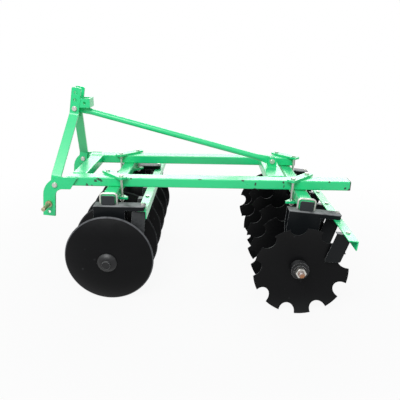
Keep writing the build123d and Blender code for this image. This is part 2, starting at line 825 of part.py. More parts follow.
def hollow_depth(radius):
    """Depth of a disc's hollow below the plane of its rim, at this distance from the axle."""
    return disc_depth - cup_radius + math.sqrt(cup_radius**2 - (radius - disc_flat_radius) ** 2)


def blade_corners(gang, rim):
    """Corners of a scraper blade's face towards its disc: high front, high rear, low rear, low front."""
    front_u = angle_centre + gang.shift - scraper_lead
    low_u = front_u - scraper_sweep
    top = -hanger_flange - angle_wall - scraper_thickness / 2
    low_radius = math.hypot(low_u - gang.axle_u, top - scraper_drop + gang.drop)
    turned = math.tan(math.radians(scraper_turn))
    high_reach = scraper_lead * turned - scraper_stand_off
    low_reach = hollow_depth(low_radius) - scraper_clearance
    slant = (low_reach - high_reach - scraper_sweep * turned) / scraper_drop
    corners = []
    for u, v in (
        (front_u, top),
        (front_u + scraper_width, top),
        (low_u + scraper_low_width, top - scraper_drop + scraper_rise),
        (low_u, top - scraper_drop),
    ):
        reach = high_reach - (u - front_u) * turned + (top - v) * slant
        in_view = gang.side_plane(0).from_local_coords((u, v, 0))
        corners.append(Vector(in_view.X, rim + gang.hub_side * reach, in_view.Z))
    return corners


for gang in gangs:
    left_end, right_end = bar_ends[gang.name]
    bar_u = angle_centre + gang.shift
    bar_top = -hanger_flange
    with BuildPart() as scraper_bar:
        with BuildSketch(gang.side_plane(right_end)):
            with Locations((bar_u, bar_top - angle_wall / 2)):
                Rectangle(angle_size, angle_wall)
            with Locations((bar_u + angle_size / 2 - angle_wall / 2, bar_top - angle_size / 2)):
                Rectangle(angle_wall, angle_size)
        extrude(amount=right_end - left_end)
        flange = gang.side_plane(0)
        for y in gang.tabs:
            centre = gang.side_plane(y).from_local_coords((bar_u, bar_top, 0))
            with BuildSketch(Plane(origin=centre, x_dir=flange.x_dir, z_dir=flange.y_dir)):
                Circle(u_bolt_radius + bolt_clearance)
            extrude(amount=-2 * angle_wall, mode=Mode.SUBTRACT)
    save(scraper_bar, f"{gang.name}_scraper_bar")

    with BuildPart() as scrapers:
        tab_top = bar_top - angle_wall
        tab_front = bar_u - scraper_lead
        tab_rear = tab_front + scraper_width
        under_bar = gang.side_plane(0).from_local_coords((0, tab_top, 0))
        tab_plane = Plane(origin=under_bar, x_dir=flange.x_dir, z_dir=flange.y_dir)
        for rim in gang.rims:
            # the blade slants down from its bent tab into the hollow of its disc
            corners = blade_corners(gang, rim)
            high_front, high_rear, low_front = corners[0], corners[1], corners[3]
            rearward = (high_rear - high_front).normalized()
            facing = rearward.cross(high_front - low_front)
            blade_plane = Plane(origin=high_front, x_dir=rearward, z_dir=facing)
            outline = [blade_plane.to_local_coords(corner) for corner in corners]
            with BuildSketch(blade_plane) as blade:
                with BuildLine():
                    Polyline(*[(corner.X, corner.Y) for corner in outline], close=True)
                make_face()
                fillet(blade.vertices().sort_by(Axis.Y)[:2], scraper_corner)
            extrude(amount=gang.hub_side * scraper_thickness)
            tab_end = rim - gang.hub_side * scraper_stand_off + scraper_tab
            behind = scraper_thickness if gang.hub_side == RIGHT else 0
            with BuildSketch(tab_plane):
                with BuildLine():
                    Polyline(
                        (tab_front, high_front.Y - behind),
                        (tab_rear, high_rear.Y - behind),
                        (tab_rear, tab_end),
                        (tab_front, tab_end),
                        close=True,
                    )
                make_face()
                with Locations((bar_u, tab_end - scraper_tab / 2)):
                    Circle(u_bolt_radius + bolt_clearance, mode=Mode.SUBTRACT)
            extrude(amount=-scraper_thickness)
    save(scrapers, f"{gang.name}_scrapers")

# Bolts of the scraper tabs, some through a hanger's arm as well, and of the bearing housings
with BuildPart() as arm_bolts:
    for gang in gangs:
        upright = gang.side_plane(0)
        bolt_u = angle_centre + gang.shift
        for y in gang.tabs:
            arm = hanger_flange if y in gang.arm_tabs else 0
            head = gang.side_plane(y).from_local_coords((bolt_u, arm - hanger_flange, 0))
            head_seat = Plane(origin=head, x_dir=upright.x_dir, z_dir=upright.y_dir)
            grip = arm + angle_wall + scraper_thickness
            upright_bolt(head_seat, u_bolt_radius, grip, bolt_tail_ratio * u_bolt_radius)
        foot_top = hanger_foot_thickness + bearing_top - gang.drop
        for y in gang.hangers:
            for way in (-1, 1):
                spot = (gang.axle_u + way * bearing_bolt_reach, foot_top, 0)
                head = gang.side_plane(y).from_local_coords(spot)
                head_seat = Plane(origin=head, x_dir=upright.x_dir, z_dir=upright.y_dir)
                grip = hanger_foot_thickness + bearing_pad
                upright_bolt(head_seat, u_bolt_radius, grip, bolt_tail_ratio * u_bolt_radius)
save(arm_bolts, "arm_bolts")

# Gangs that turn
def gang_plane(gang, y):
    """Half plane through the axle at y: sketch X is the distance from the axle, sketch Y is Y."""
    return Plane(origin=(gang.axle_x, y, axle_z), x_dir=(0, 0, 1), z_dir=(-1, 0, 0))


def axle_of(gang):
    return Axis((gang.axle_x, 0, axle_z), (0, 1, 0))


def square_bore(gang):
    """Cut the hole for the square shaft right through."""
    side = shaft_square + 2 * square_clearance
    before_all = (gang.axle_x, gang.rims[0] - disc_spacing, axle_z)
    with BuildSketch(Plane(origin=before_all, x_dir=(1, 0, 0), z_dir=(0, 1, 0))) as bore:
        Rectangle(side, side)
    extrude(bore.sketch, amount=disc_spacing * (discs_per_gang + 2), mode=Mode.SUBTRACT)


def disc(gang, rim, turn, notched):
    """Dished disc with its rim edge at y = rim and its hub on the gang's hub side."""
    to_hub = gang.hub_side
    rim_radius = disc_diameter / 2
    outer = cup_radius + disc_thickness
    slope = math.asin((rim_radius - disc_bevel - disc_flat_radius) / outer)
    cup_centre = disc_depth - cup_radius
    bevel_top = (disc_flat_radius + outer * math.sin(slope), cup_centre + outer * math.cos(slope))
    half = slope / 2
    outer_mid = (disc_flat_radius + outer * math.sin(half), cup_centre + outer * math.cos(half))
    rim_slope = math.asin((rim_radius - disc_flat_radius) / cup_radius) / 2
    inner_mid = (
        disc_flat_radius + cup_radius * math.sin(rim_slope),
        disc_depth - cup_radius + cup_radius * math.cos(rim_slope),
    )

    def flip(point):
        return (point[0], to_hub * point[1])

    with BuildPart() as plate:
        with BuildSketch(gang_plane(gang, rim)):
            with BuildLine():
                Polyline(
                    flip((disc_flat_radius, disc_depth)),
                    flip((0, disc_depth)),
                    flip((0, disc_depth + disc_thickness)),
                    flip((disc_flat_radius, disc_depth + disc_thickness)),
                )
                flat_edge = flip((disc_flat_radius, disc_depth + disc_thickness))
                ThreePointArc(flat_edge, flip(outer_mid), flip(bevel_top))
                Polyline(flip(bevel_top), flip((rim_radius, disc_edge)), flip((rim_radius, 0)))
                ThreePointArc(flip((rim_radius, 0)), flip(inner_mid), flip((disc_flat_radius, disc_depth)))
            make_face()
        revolve(axis=axle_of(gang))
        square_bore(gang)
        if notched:
            # the first notch lies half a pitch and the disc's own turn from the bottom
            first = turn + 180 / notch_count - 90
            with BuildSketch(side_view(rim + disc_spacing / 2)):
                with Locations((gang.axle_x, axle_z)):
                    with PolarLocations(rim_radius - notch_inset, notch_count, start_angle=first):
                        Circle(notch_radius)
            extrude(amount=disc_spacing, mode=Mode.SUBTRACT)
    return plate


def spool_profile(gang, start, end, body_radius):
    """Spool between two disc faces: a flange at each end and a round body."""
    body_from = spool_flange_thickness + spool_taper
    with BuildSketch(gang_plane(gang, 0)) as profile:
        with BuildLine():
            Polyline(
                (0, start),
                (spool_flange_radius, start),
                (spool_flange_radius, start + spool_flange_thickness),
                (body_radius, start + body_from),
                (body_radius, end - body_from),
                (spool_flange_radius, end - spool_flange_thickness),
                (spool_flange_radius, end),
                (0, end),
                close=True,
            )
        make_face()
    revolve(profile.sketch, axis=axle_of(gang))


for gang in gangs:
    to_hub = gang.hub_side
    hub_hollow = [rim + to_hub * disc_depth for rim in gang.rims]
    hub_back = [rim + to_hub * (disc_depth + disc_thickness) for rim in gang.rims]
    for k, rim in enumerate(gang.rims):
        quarter = rear_quarter_turns[k % len(rear_quarter_turns)]
        plate = disc(gang, rim, notch_turn + 90 * quarter, gang is rear)
        save(plate, f"{gang.name}_disc_{k + 1}")

    with BuildPart() as spools:
        for k in range(discs_per_gang - 1):
            start = max(hub_hollow[k], hub_back[k])
            end = min(hub_hollow[k + 1], hub_back[k + 1])
            carries = any(start < y < end for y in gang.hangers)
            spool_profile(gang, start, end, journal_radius if carries else spool_body_radius)
        square_bore(gang)
    save(spools, f"{gang.name}_spools")

    # head end on the dished side, nut end on the hollow side
    if to_hub == LEFT:
        head_face, nut_face = hub_back[0], hub_hollow[-1]
    else:
        head_face, nut_face = hub_back[-1], hub_hollow[0]
    bumper_end = head_face + to_hub * bumper_height
    head_end = bumper_end + to_hub * head_height
    washer_end = nut_face - to_hub * end_washer_thickness
    lock_end = washer_end - to_hub * lock_washer_thickness
    nut_end = lock_end - to_hub * nut_height
    thread_end = nut_end - to_hub * thread_tail

    def across(y):
        """Plane square to the axle at y, facing the nut end."""
        return Plane(origin=(gang.axle_x, y, axle_z), x_dir=(1, 0, 0), z_dir=(0, -to_hub, 0))

    with BuildPart() as shaft:
        with BuildSketch(across(bumper_end)):
            Rectangle(shaft_square, shaft_square)
        extrude(amount=abs(washer_end - bumper_end))
        with BuildSketch(across(washer_end)):
            Circle(thread_radius)
        extrude(amount=abs(thread_end - washer_end))
        with BuildSketch(across(head_end)):
            Circle(head_radius)
        extrude(amount=head_height)
        ends = shaft.faces().sort_by(Axis.Y)
        chamfer(ends[0].edges() + ends[-1].edges(), shaft_end_chamfer)
    save(shaft, f"{gang.name}_shaft")

    with BuildPart() as end_washers:
        with BuildSketch(gang_plane(gang, head_face)):
            with BuildLine():
                Polyline((0, 0), (bumper_radius, 0), (bumper_radius, to_hub * bumper_skirt))
                ThreePointArc(
                    (bumper_radius, to_hub * bumper_skirt),
                    (bumper_shoulder_radius, to_hub * bumper_shoulder_height),
                    (head_radius, to_hub * bumper_height),
                )
                Polyline((head_radius, to_hub * bumper_height), (0, to_hub * bumper_height), (0, 0))
            make_face()
        revolve(axis=axle_of(gang))
        with BuildSketch(across(nut_face)):
            Circle(end_washer_radius)
        extrude(amount=end_washer_thickness)
        square_bore(gang)
        with BuildSketch(across(washer_end)):
            Circle(lock_washer_radius)
            Circle(thread_radius + square_clearance, mode=Mode.SUBTRACT)
        extrude(amount=lock_washer_thickness)
    save(end_washers, f"{gang.name}_end_washers")

    with BuildPart() as nut:
        with BuildSketch(across(lock_end)):
            RegularPolygon(nut_across_flats / 2, 6, major_radius=False)
            Circle(thread_radius + square_clearance, mode=Mode.SUBTRACT)
        extrude(amount=nut_height)
    save(nut, f"{gang.name}_nut")
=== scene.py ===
"""Looks of a mounted offset disc harrow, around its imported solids.

The solids bring every main form. Here they get their enamel, black paint, zinc and bare steel, and the
small things that a workshop adds: bevelled bolts, washers, threads, weld beads and grease nipples.
"""

import math

import bpy
import numpy as np
from bpy.props import FloatProperty, FloatVectorProperty, IntProperty, PointerProperty
from bpy.types import Operator, Panel, PropertyGroup
from mathutils import Matrix, Vector


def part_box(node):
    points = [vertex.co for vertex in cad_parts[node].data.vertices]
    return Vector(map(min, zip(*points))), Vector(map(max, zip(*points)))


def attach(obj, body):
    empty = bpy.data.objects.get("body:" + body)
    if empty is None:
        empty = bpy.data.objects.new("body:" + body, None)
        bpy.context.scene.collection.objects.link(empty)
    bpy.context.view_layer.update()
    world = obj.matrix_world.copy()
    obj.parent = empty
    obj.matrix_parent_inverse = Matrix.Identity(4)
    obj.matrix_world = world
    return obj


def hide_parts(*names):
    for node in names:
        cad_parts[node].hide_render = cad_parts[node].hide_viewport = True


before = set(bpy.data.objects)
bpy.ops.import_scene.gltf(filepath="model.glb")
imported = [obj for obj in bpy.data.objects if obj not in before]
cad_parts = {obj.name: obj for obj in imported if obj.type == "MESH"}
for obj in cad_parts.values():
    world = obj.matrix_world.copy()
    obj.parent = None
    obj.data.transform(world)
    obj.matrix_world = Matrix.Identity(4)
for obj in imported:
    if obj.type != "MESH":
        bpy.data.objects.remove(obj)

bl_info = {
    "name": "Disc Harrow Finish",
    "version": (1, 0, 0),
    "blender": (4, 5, 0),
    "location": "3D View > Sidebar > Harrow",
    "description": "Finishes, welds, threads and small fittings of a mounted disc harrow, with its stage",
    "category": "Object",
}

PHOTO_PIXELS = 400
SENSOR_MM = 36.0
TURN = 2 * math.pi
HALF_FLAT = math.radians(30)
GANGS = ("front", "rear")
SIDES = ("left", "right")
DISC_NUMBERS = range(1, 7)

GREEN_NODES = [
    "frame_tube_left", "frame_tube_right", "front_cross_tube", "rear_cross_member",
    "hitch_plate_left", "hitch_plate_right", "mast_bar_left", "mast_bar_right", "mast_bracket",
    "mast_spacer", "brace", "brace_ears", "clamp_top_bars", "clamp_low_bars",
    "front_beam", "rear_beam", "front_scraper_bar", "rear_scraper_bar",
]
PLATE_NODES = [f"{gang}_hanger_{side}" for gang in GANGS for side in SIDES]
PLATE_NODES += [f"{gang}_scrapers" for gang in GANGS]
CASTING_NODES = [f"{gang}_bearing_{side}" for gang in GANGS for side in SIDES]
CASTING_NODES += [f"{gang}_{piece}" for gang in GANGS for piece in ("spools", "end_washers")]
ZINC_NODES = ["clamp_bolts", "mast_bolts", "arm_bolts", "u_bolts", "front_nut", "rear_nut"]

# What the paints share, besides their colours
ENAMEL = {"rough": 0.30, "specular": 0.5, "wear": 0.28, "dust_and_top_sheen": 0.05, "coat": 0.35}
# The plates' large dust amount also paints a light grey sheen on their tops, a painted highlight where glare
# falls
PLATE_PAINT = {"rough": 0.36, "specular": 0.1, "wear": 0.34, "chips": 0.25, "dust_and_top_sheen": 0.6}
CASTING_PAINT = {"rough": 0.33, "specular": 0.3, "chips": 0.22, "dust_and_top_sheen": 0.12}

# Colours of wear that no setting needs; the bare disc colour also serves a painted rim highlight
ZINC_STAIN = (0.26, 0.21, 0.14)
YELLOW_STAIN = (0.20, 0.13, 0.08)
BARE_DISC_AND_RIM_HIGHLIGHT = (0.22, 0.225, 0.24)
WORN_CAP = (0.08, 0.085, 0.09)
WHITE = (1.0, 1.0, 1.0, 1.0)

# Proportions of a bolt, in radii of its shank
BOLT_CORNER = 1.75
HEAD_HEIGHT = 1.25
NUT_HEIGHT = 1.5
WASHER_RIM = 1.8
THREAD_DEPTH = 0.08

# Roundings and seats of the added pieces, in metres
WASHER_EDGE = 0.0003
SHAFT_THREAD_ROOT = 0.01405
SHAFT_THREAD_DEPTH = 0.0009
SHAFT_CHAMFER = 0.0022
THREAD_SEAT = 0.002
U_BOLT_TAIL = 0.0145
CORNER_INSET = 0.005

# Lamps of the stage
LAMP_AIM = (0.0, 0.0, 0.5)
KEY_PLACE = (-1.1, -3.5, 4.0)
KEY_SIZE = (3.0, 2.2)
SKY_PLACE = (0.3, 4.6, 3.1)
SKY_SIZE = (7.0, 2.2)


class HarrowColours(PropertyGroup):
    """Colours of the harrow's finishes, scene linear."""

    green: FloatVectorProperty(
        name="Green enamel", description="Colour of the frame's enamel", subtype="COLOR",
        default=(0.010, 0.585, 0.208),
    )
    green_scuff: FloatVectorProperty(
        name="Scuffed enamel", description="Dark primer and scale under a chip", subtype="COLOR",
        default=(0.012, 0.03, 0.018),
    )
    disc_black: FloatVectorProperty(
        name="Disc black", description="Gloss black of the discs", subtype="COLOR",
        default=(0.0045, 0.0046, 0.005),
    )
    plate_black: FloatVectorProperty(
        name="Plate black", description="Blue black of the hangers and scrapers", subtype="COLOR",
        default=(0.0065, 0.0078, 0.0088),
    )
    casting_black: FloatVectorProperty(
        name="Casting black", description="Black of the spools and bearings", subtype="COLOR",
        default=(0.009, 0.0092, 0.0098),
    )
    cap_black: FloatVectorProperty(
        name="Cap black", description="Moulded caps of the beams and tubes", subtype="COLOR",
        default=(0.016, 0.019, 0.022),
    )
    bare_steel: FloatVectorProperty(
        name="Bare steel", description="Rubbed and ground steel", subtype="COLOR", default=(0.42, 0.42, 0.43)
    )
    zinc: FloatVectorProperty(
        name="Bright zinc", description="Plated bolts", subtype="COLOR", default=(0.66, 0.65, 0.61)
    )
    yellow_zinc: FloatVectorProperty(
        name="Yellow zinc", description="Plated lower pins", subtype="COLOR", default=(0.50, 0.44, 0.29)
    )
    rust: FloatVectorProperty(
        name="Rust", description="Rust on bare shaft ends", subtype="COLOR", default=(0.30, 0.13, 0.055)
    )
    # Dust colour, also a painted highlight on the tops of the black plates
    dust_and_top_sheen: FloatVectorProperty(
        name="Dust and top sheen", description="Dry dust on upward faces", subtype="COLOR", default=(0.36, 0.37, 0.375)
    )


class HarrowSizes(PropertyGroup):
    """Sizes of the small pieces that are added to the solids."""

    bead_radius: FloatProperty(
        name="Weld bead", description="Radius of a weld bead", unit="LENGTH", default=0.0038
    )
    bead_step: FloatProperty(
        name="Bead ripple", description="Distance between two ripples of a weld", unit="LENGTH",
        default=0.0032,
    )
    washer: FloatProperty(
        name="Washer", description="Thickness of the washers", unit="LENGTH", default=0.0018
    )
    thread_pitch: FloatProperty(
        name="Bolt pitch", description="Thread pitch of the bolts", unit="LENGTH", default=0.0018
    )
    thread_length: FloatProperty(
        name="Thread length", description="Thread of the long bolts above their nuts", unit="LENGTH",
        default=0.022,
    )
    shaft_pitch: FloatProperty(
        name="Shaft pitch", description="Thread pitch of the gang shafts", unit="LENGTH", default=0.0032
    )
    nipple: FloatProperty(
        name="Grease nipple", description="Height of a grease nipple", unit="LENGTH", default=0.011
    )
    columns: IntProperty(
        name="Columns", description="Points round a turned piece, in twelves", default=48, min=12
    )


class HarrowStage(PropertyGroup):
    """Camera, lamps and floor."""

    camera_back: FloatProperty(
        name="Camera back", description="Camera place behind the tubes' front end", unit="LENGTH",
        default=0.7478,
    )
    camera_aside: FloatProperty(
        name="Camera aside", description="Camera place left of the frame's middle", unit="LENGTH",
        default=2.5792,
    )
    camera_height: FloatProperty(
        name="Camera height", description="Above the floor", unit="LENGTH", default=1.2854
    )
    yaw: FloatProperty(
        name="Yaw", description="Turn of the view towards the rear", unit="ROTATION",
        default=math.radians(-2.107),
    )
    pitch: FloatProperty(
        name="Pitch", description="Fall of the view below level", unit="ROTATION",
        default=math.radians(18.401),
    )
    roll: FloatProperty(
        name="Roll", description="Roll of the view", unit="ROTATION", default=math.radians(0.413)
    )
    focal_pixels: FloatProperty(
        name="Focal length", description="In pixels of the photograph", default=451.06
    )
    centre_x: FloatProperty(
        name="Principal point across", description="In pixels of the photograph", default=189.68
    )
    centre_y: FloatProperty(
        name="Principal point down", description="In pixels of the photograph", default=192.84
    )
    key_watts: FloatProperty(
        name="Key", description="Soft lamp over the camera", unit="POWER", default=185.0
    )
    sky_watts: FloatProperty(
        name="Sky", description="Wide lamp behind the harrow", unit="POWER", default=250.0
    )
    floor_radius: FloatProperty(
        name="Floor", description="Radius of the round floor", unit="LENGTH", default=14.0
    )


# Node trees


def feed(tree, node, socket, value):
    """Link a socket to a node's input, or set the input to a plain value."""
    if isinstance(value, bpy.types.NodeSocket):
        tree.links.new(value, node.inputs[socket])
    else:
        node.inputs[socket].default_value = value


def put(tree, kind, inputs=None, **settings):
    """Add a node, set its options, and set its inputs or link them to earlier sockets."""
    node = tree.nodes.new(kind)
    for option, value in settings.items():
        setattr(node, option, value)
    for socket, value in (inputs or {}).items():
        feed(tree, node, socket, value)
    return node


def calc(tree, operation, *values, clamp=False):
    """Result of one sum of the Math node."""
    node = put(tree, "ShaderNodeMath", dict(enumerate(values)), operation=operation, use_clamp=clamp)
    return node.outputs[0]


def vector_calc(tree, operation, *values, output="Vector"):
    """Result of one sum of the Vector Math node, which for a length or a dot product is its Value."""
    node = put(tree, "ShaderNodeVectorMath", dict(enumerate(values)), operation=operation)
    return node.outputs[output]


def ease(tree, value, low, high, start=0.0, end=1.0):
    """Smooth step from start to end as value goes from low to high."""
    inputs = {"Value": value, "From Min": low, "From Max": high, "To Min": start, "To Max": end}
    return put(tree, "ShaderNodeMapRange", inputs, interpolation_type="SMOOTHSTEP").outputs[0]


def tint(tree, factor, low, high):
    """Colour between low and high, each a socket or a colour."""
    node = put(tree, "ShaderNodeMix", {0: factor}, data_type="RGBA")
    for socket, colour in ((6, low), (7, high)):
        linked = isinstance(colour, bpy.types.NodeSocket)
        feed(tree, node, socket, colour if linked else (*colour, 1.0))
    return node.outputs[2]


def noise(tree, vector, scale, detail=3.0, roughness=0.55, output=0):
    """Noise over a vector: a value from 0 to 1, or a colour as output 1."""
    inputs = {"Vector": vector, "Scale": scale, "Detail": detail, "Roughness": roughness}
    return put(tree, "ShaderNodeTexNoise", inputs).outputs[output]


def object_place(tree):
    """Place of the shaded point in its object's own frame."""
    return put(tree, "ShaderNodeTexCoord").outputs["Object"]


def object_normal(tree):
    """Normal of the shaded point in its object's own frame."""
    return put(tree, "ShaderNodeTexCoord").outputs["Normal"]


def new_group(name, inputs, outputs):
    """Shader node group with its named sockets; gives the tree, its inputs and its output node."""
    tree = bpy.data.node_groups.new(name, "ShaderNodeTree")
    for socket, kind, default in inputs:
        made = tree.interface.new_socket(socket, in_out="INPUT", socket_type=kind)
        made.default_value = default
    for socket, kind in outputs:
        tree.interface.new_socket(socket, in_out="OUTPUT", socket_type=kind)
    given = put(tree, "NodeGroupInput").outputs
    return tree, given, put(tree, "NodeGroupOutput")


def use_group(tree, name, inputs):
    """Outputs of a named group, put into a material with its inputs."""
    return put(tree, "ShaderNodeGroup", inputs, node_tree=bpy.data.node_groups[name]).outputs


def edge_group():
    """Rubbed edges: where a rounded normal leaves the flat one, broken up by noise, and that normal."""
    tree, given, result = new_group(
        "Rubbed edges",
        [
            ("Width", "NodeSocketFloat", 0.0025),
            ("Scale", "NodeSocketFloat", 70.0),
            ("Amount", "NodeSocketFloat", 0.5),
        ],
        [("Mask", "NodeSocketFloat"), ("Normal", "NodeSocketVector")],
    )
    flat = put(tree, "ShaderNodeNewGeometry").outputs["Normal"]
    rounded = put(tree, "ShaderNodeBevel", {"Radius": given["Width"]}, samples=6).outputs[0]
    turned = vector_calc(tree, "DOT_PRODUCT", flat, rounded, output="Value")
    bend = calc(tree, "SUBTRACT", 1.0, turned)
    ragged = noise(tree, object_place(tree), given["Scale"], 4.0, 0.65)
    lifted = calc(tree, "MULTIPLY_ADD", bend, 4.0, calc(tree, "SUBTRACT", ragged, 0.5))
    limit = calc(tree, "SUBTRACT", 1.0, given["Amount"])
    mask = ease(tree, lifted, limit, calc(tree, "ADD", limit, 0.12))
    feed(tree, result, "Mask", mask)
    feed(tree, result, "Normal", rounded)


def film_group():
    """Paint film: its colour drifts a little over the work, and its skin is pebbled as sprayed enamel."""
    tree, given, result = new_group(
        "Paint film",
        [
            ("Colour", "NodeSocketColor", (0.5, 0.5, 0.5, 1.0)),
            ("Drift", "NodeSocketFloat", 0.12),
            ("Pebble Scale", "NodeSocketFloat", 420.0),
        ],
        [("Colour", "NodeSocketColor"), ("Height", "NodeSocketFloat")],
    )
    place = object_place(tree)
    broad = noise(tree, place, 5.0, 2.0)
    streaks = vector_calc(tree, "MULTIPLY", place, (9.0, 9.0, 60.0))
    drift = calc(tree, "ADD", broad, calc(tree, "MULTIPLY", noise(tree, streaks, 1.0, 2.0), 0.4))
    level = calc(tree, "MULTIPLY_ADD", calc(tree, "SUBTRACT", drift, 0.7), given["Drift"], 1.0)
    scaling = {0: given["Colour"], "Scale": level}
    feed(tree, result, "Colour", put(tree, "ShaderNodeVectorMath", scaling, operation="SCALE").outputs[0])
    pebble = noise(tree, place, given["Pebble Scale"], 2.0)
    runs = calc(tree, "MULTIPLY", noise(tree, place, 45.0, 2.0), 2.0)
    feed(tree, result, "Height", calc(tree, "ADD", pebble, runs))


def chip_group():
    """Chips: small cells of a ragged Voronoi pattern, kept only where a broad noise is high."""
    tree, given, result = new_group(
        "Chips",
        [("Scale", "NodeSocketFloat", 40.0), ("Share", "NodeSocketFloat", 0.3)],
        [("Mask", "NodeSocketFloat")],
    )
    place = object_place(tree)
    shake = put(tree, "ShaderNodeTexNoise", {"Vector": place, "Scale": 160.0, "Detail": 3.0}).outputs[1]
    shaken = vector_calc(tree, "MULTIPLY_ADD", shake, (0.012, 0.012, 0.012), place)
    cells = put(tree, "ShaderNodeTexVoronoi", {"Vector": shaken, "Scale": given["Scale"]})
    near = ease(tree, cells.outputs["Distance"], 0.10, 0.20, 1.0, 0.0)
    patch = noise(tree, place, 9.0, 2.0)
    limit = calc(tree, "SUBTRACT", 1.0, given["Share"])
    kept = ease(tree, patch, calc(tree, "MULTIPLY", limit, 0.9), limit)
    feed(tree, result, "Mask", calc(tree, "MULTIPLY", near, kept))


def dust_and_top_sheen_group():
    """Dust and painted top sheen: lies where the object's own normal points up, in a cloudy pattern."""
    tree, given, result = new_group(
        "Dust and top sheen",
        [("Amount", "NodeSocketFloat", 0.3), ("Scale", "NodeSocketFloat", 14.0)],
        [("Mask", "NodeSocketFloat")],
    )
    up = put(tree, "ShaderNodeSeparateXYZ", {0: object_normal(tree)}).outputs[2]
    lying = ease(tree, up, 0.2, 0.85)
    cloud = ease(tree, noise(tree, object_place(tree), given["Scale"], 5.0, 0.7), 0.2, 0.6)
    feed(tree, result, "Mask", calc(tree, "MULTIPLY", calc(tree, "MULTIPLY", lying, cloud), given["Amount"]))


def new_material(name):
    """Material with its node tree and its shader."""
    material = bpy.data.materials.new(name)
    material.use_nodes = True
    tree = material.node_tree
    return material, tree, tree.nodes["Principled BSDF"]


def bump(tree, shader, strength, distance, height, normal):
    """Raise the shader's surface by a height, over a softened normal."""
    inputs = {"Strength": strength, "Distance": distance, "Height": height, "Normal": normal}
    feed(tree, shader, "Normal", put(tree, "ShaderNodeBump", inputs).outputs[0])


# Finishes


def painted(name, colour, bare, *, rough, specular, wear, chips, dust_and_top_sheen, coat=0.0, marks=None):
    """Painted metal: film over bare metal at rubbed edges and chips, with a little dust on top; a large
    amount paints a top sheen.
    """
    colours = bpy.context.scene.harrow_colours
    material, tree, shader = new_material(name)
    film = use_group(tree, "Paint film", {"Colour": (*colour, 1.0)})
    edges = use_group(tree, "Rubbed edges", {"Width": 0.0022, "Scale": 75.0, "Amount": wear})
    spots = use_group(tree, "Chips", {"Scale": 34.0, "Share": chips})
    bared = calc(tree, "MAXIMUM", edges["Mask"], spots["Mask"])
    if marks:
        bared = calc(tree, "MAXIMUM", bared, marks(tree))
    # Dust on upward faces; on the plates it also paints the light sheen of their tops
    lying = use_group(tree, "Dust and top sheen", {"Amount": dust_and_top_sheen})
    stripped = tint(tree, bared, film["Colour"], bare)
    feed(tree, shader, "Base Color", tint(tree, lying["Mask"], stripped, colours.dust_and_top_sheen))
    smudged = calc(tree, "MULTIPLY_ADD", noise(tree, object_place(tree), 11.0, 4.0), 0.16, rough - 0.08)
    dull = calc(tree, "MULTIPLY_ADD", bared, 0.3, smudged)
    feed(tree, shader, "Roughness", calc(tree, "MULTIPLY_ADD", lying["Mask"], 0.4, dull, clamp=True))
    feed(tree, shader, "Specular IOR Level", specular)
    feed(tree, shader, "Coat Weight", coat)
    feed(tree, shader, "Coat Roughness", 0.22)
    height = calc(tree, "MULTIPLY_ADD", bared, -3.0, film["Height"])
    bump(tree, shader, 0.35, 0.0004, height, edges["Normal"])
    return material


# Chips that the near tube shows: behind its front end, above its lower face, half width, half height
TUBE_CHIPS = [
    (0.156, 0.037, 0.0052, 0.0050), (0.172, 0.042, 0.0104, 0.0063), (0.183, 0.037, 0.0104, 0.0063),
    (0.19, 0.031, 0.0065, 0.0050), (0.16, 0.031, 0.0078, 0.0050), (0.1115, 0.006, 0.0078, 0.0100),
    (0.139, 0.003, 0.0052, 0.0050), (0.05, 0.045, 0.0052, 0.0037), (0.35, 0.046, 0.0065, 0.0050),
    (0.718, 0.05, 0.0104, 0.0037), (0.944, 0.046, 0.0078, 0.0050), (1.011, 0.027, 0.0052, 0.0112),
    (1.01, 0.002, 0.0091, 0.0050), (1.158, 0.041, 0.0052, 0.0075), (1.16, 0.018, 0.0039, 0.0088),
    (1.397, 0.046, 0.0052, 0.0050), (1.481, 0.014, 0.0052, 0.0050), (1.503, 0.006, 0.0078, 0.0075),
]


def tube_marks(tree):
    """Ragged dark chips on the near tube: an ellipse each, its outline shaken by noise."""
    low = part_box("frame_tube_left")[0]
    place = object_place(tree)
    shake = vector_calc(tree, "SUBTRACT", noise(tree, place, 150.0, 5.0, 0.7, output=1), (0.5, 0.5, 0.5))
    shaken = vector_calc(tree, "MULTIPLY_ADD", shake, (0.022, 0.022, 0.022), place)
    total = None
    for back, up, half_width, half_height in TUBE_CHIPS:
        away = vector_calc(tree, "SUBTRACT", shaken, (low.x + back, low.y, low.z + up))
        sizes = (1 / half_width, 1 / (3 * half_height), 1 / half_height)
        gap = vector_calc(tree, "LENGTH", vector_calc(tree, "MULTIPLY", away, sizes), output="Value")
        spot = ease(tree, gap, 0.8, 1.05, 1.0, 0.0)
        total = spot if total is None else calc(tree, "MAXIMUM", total, spot)
    return total


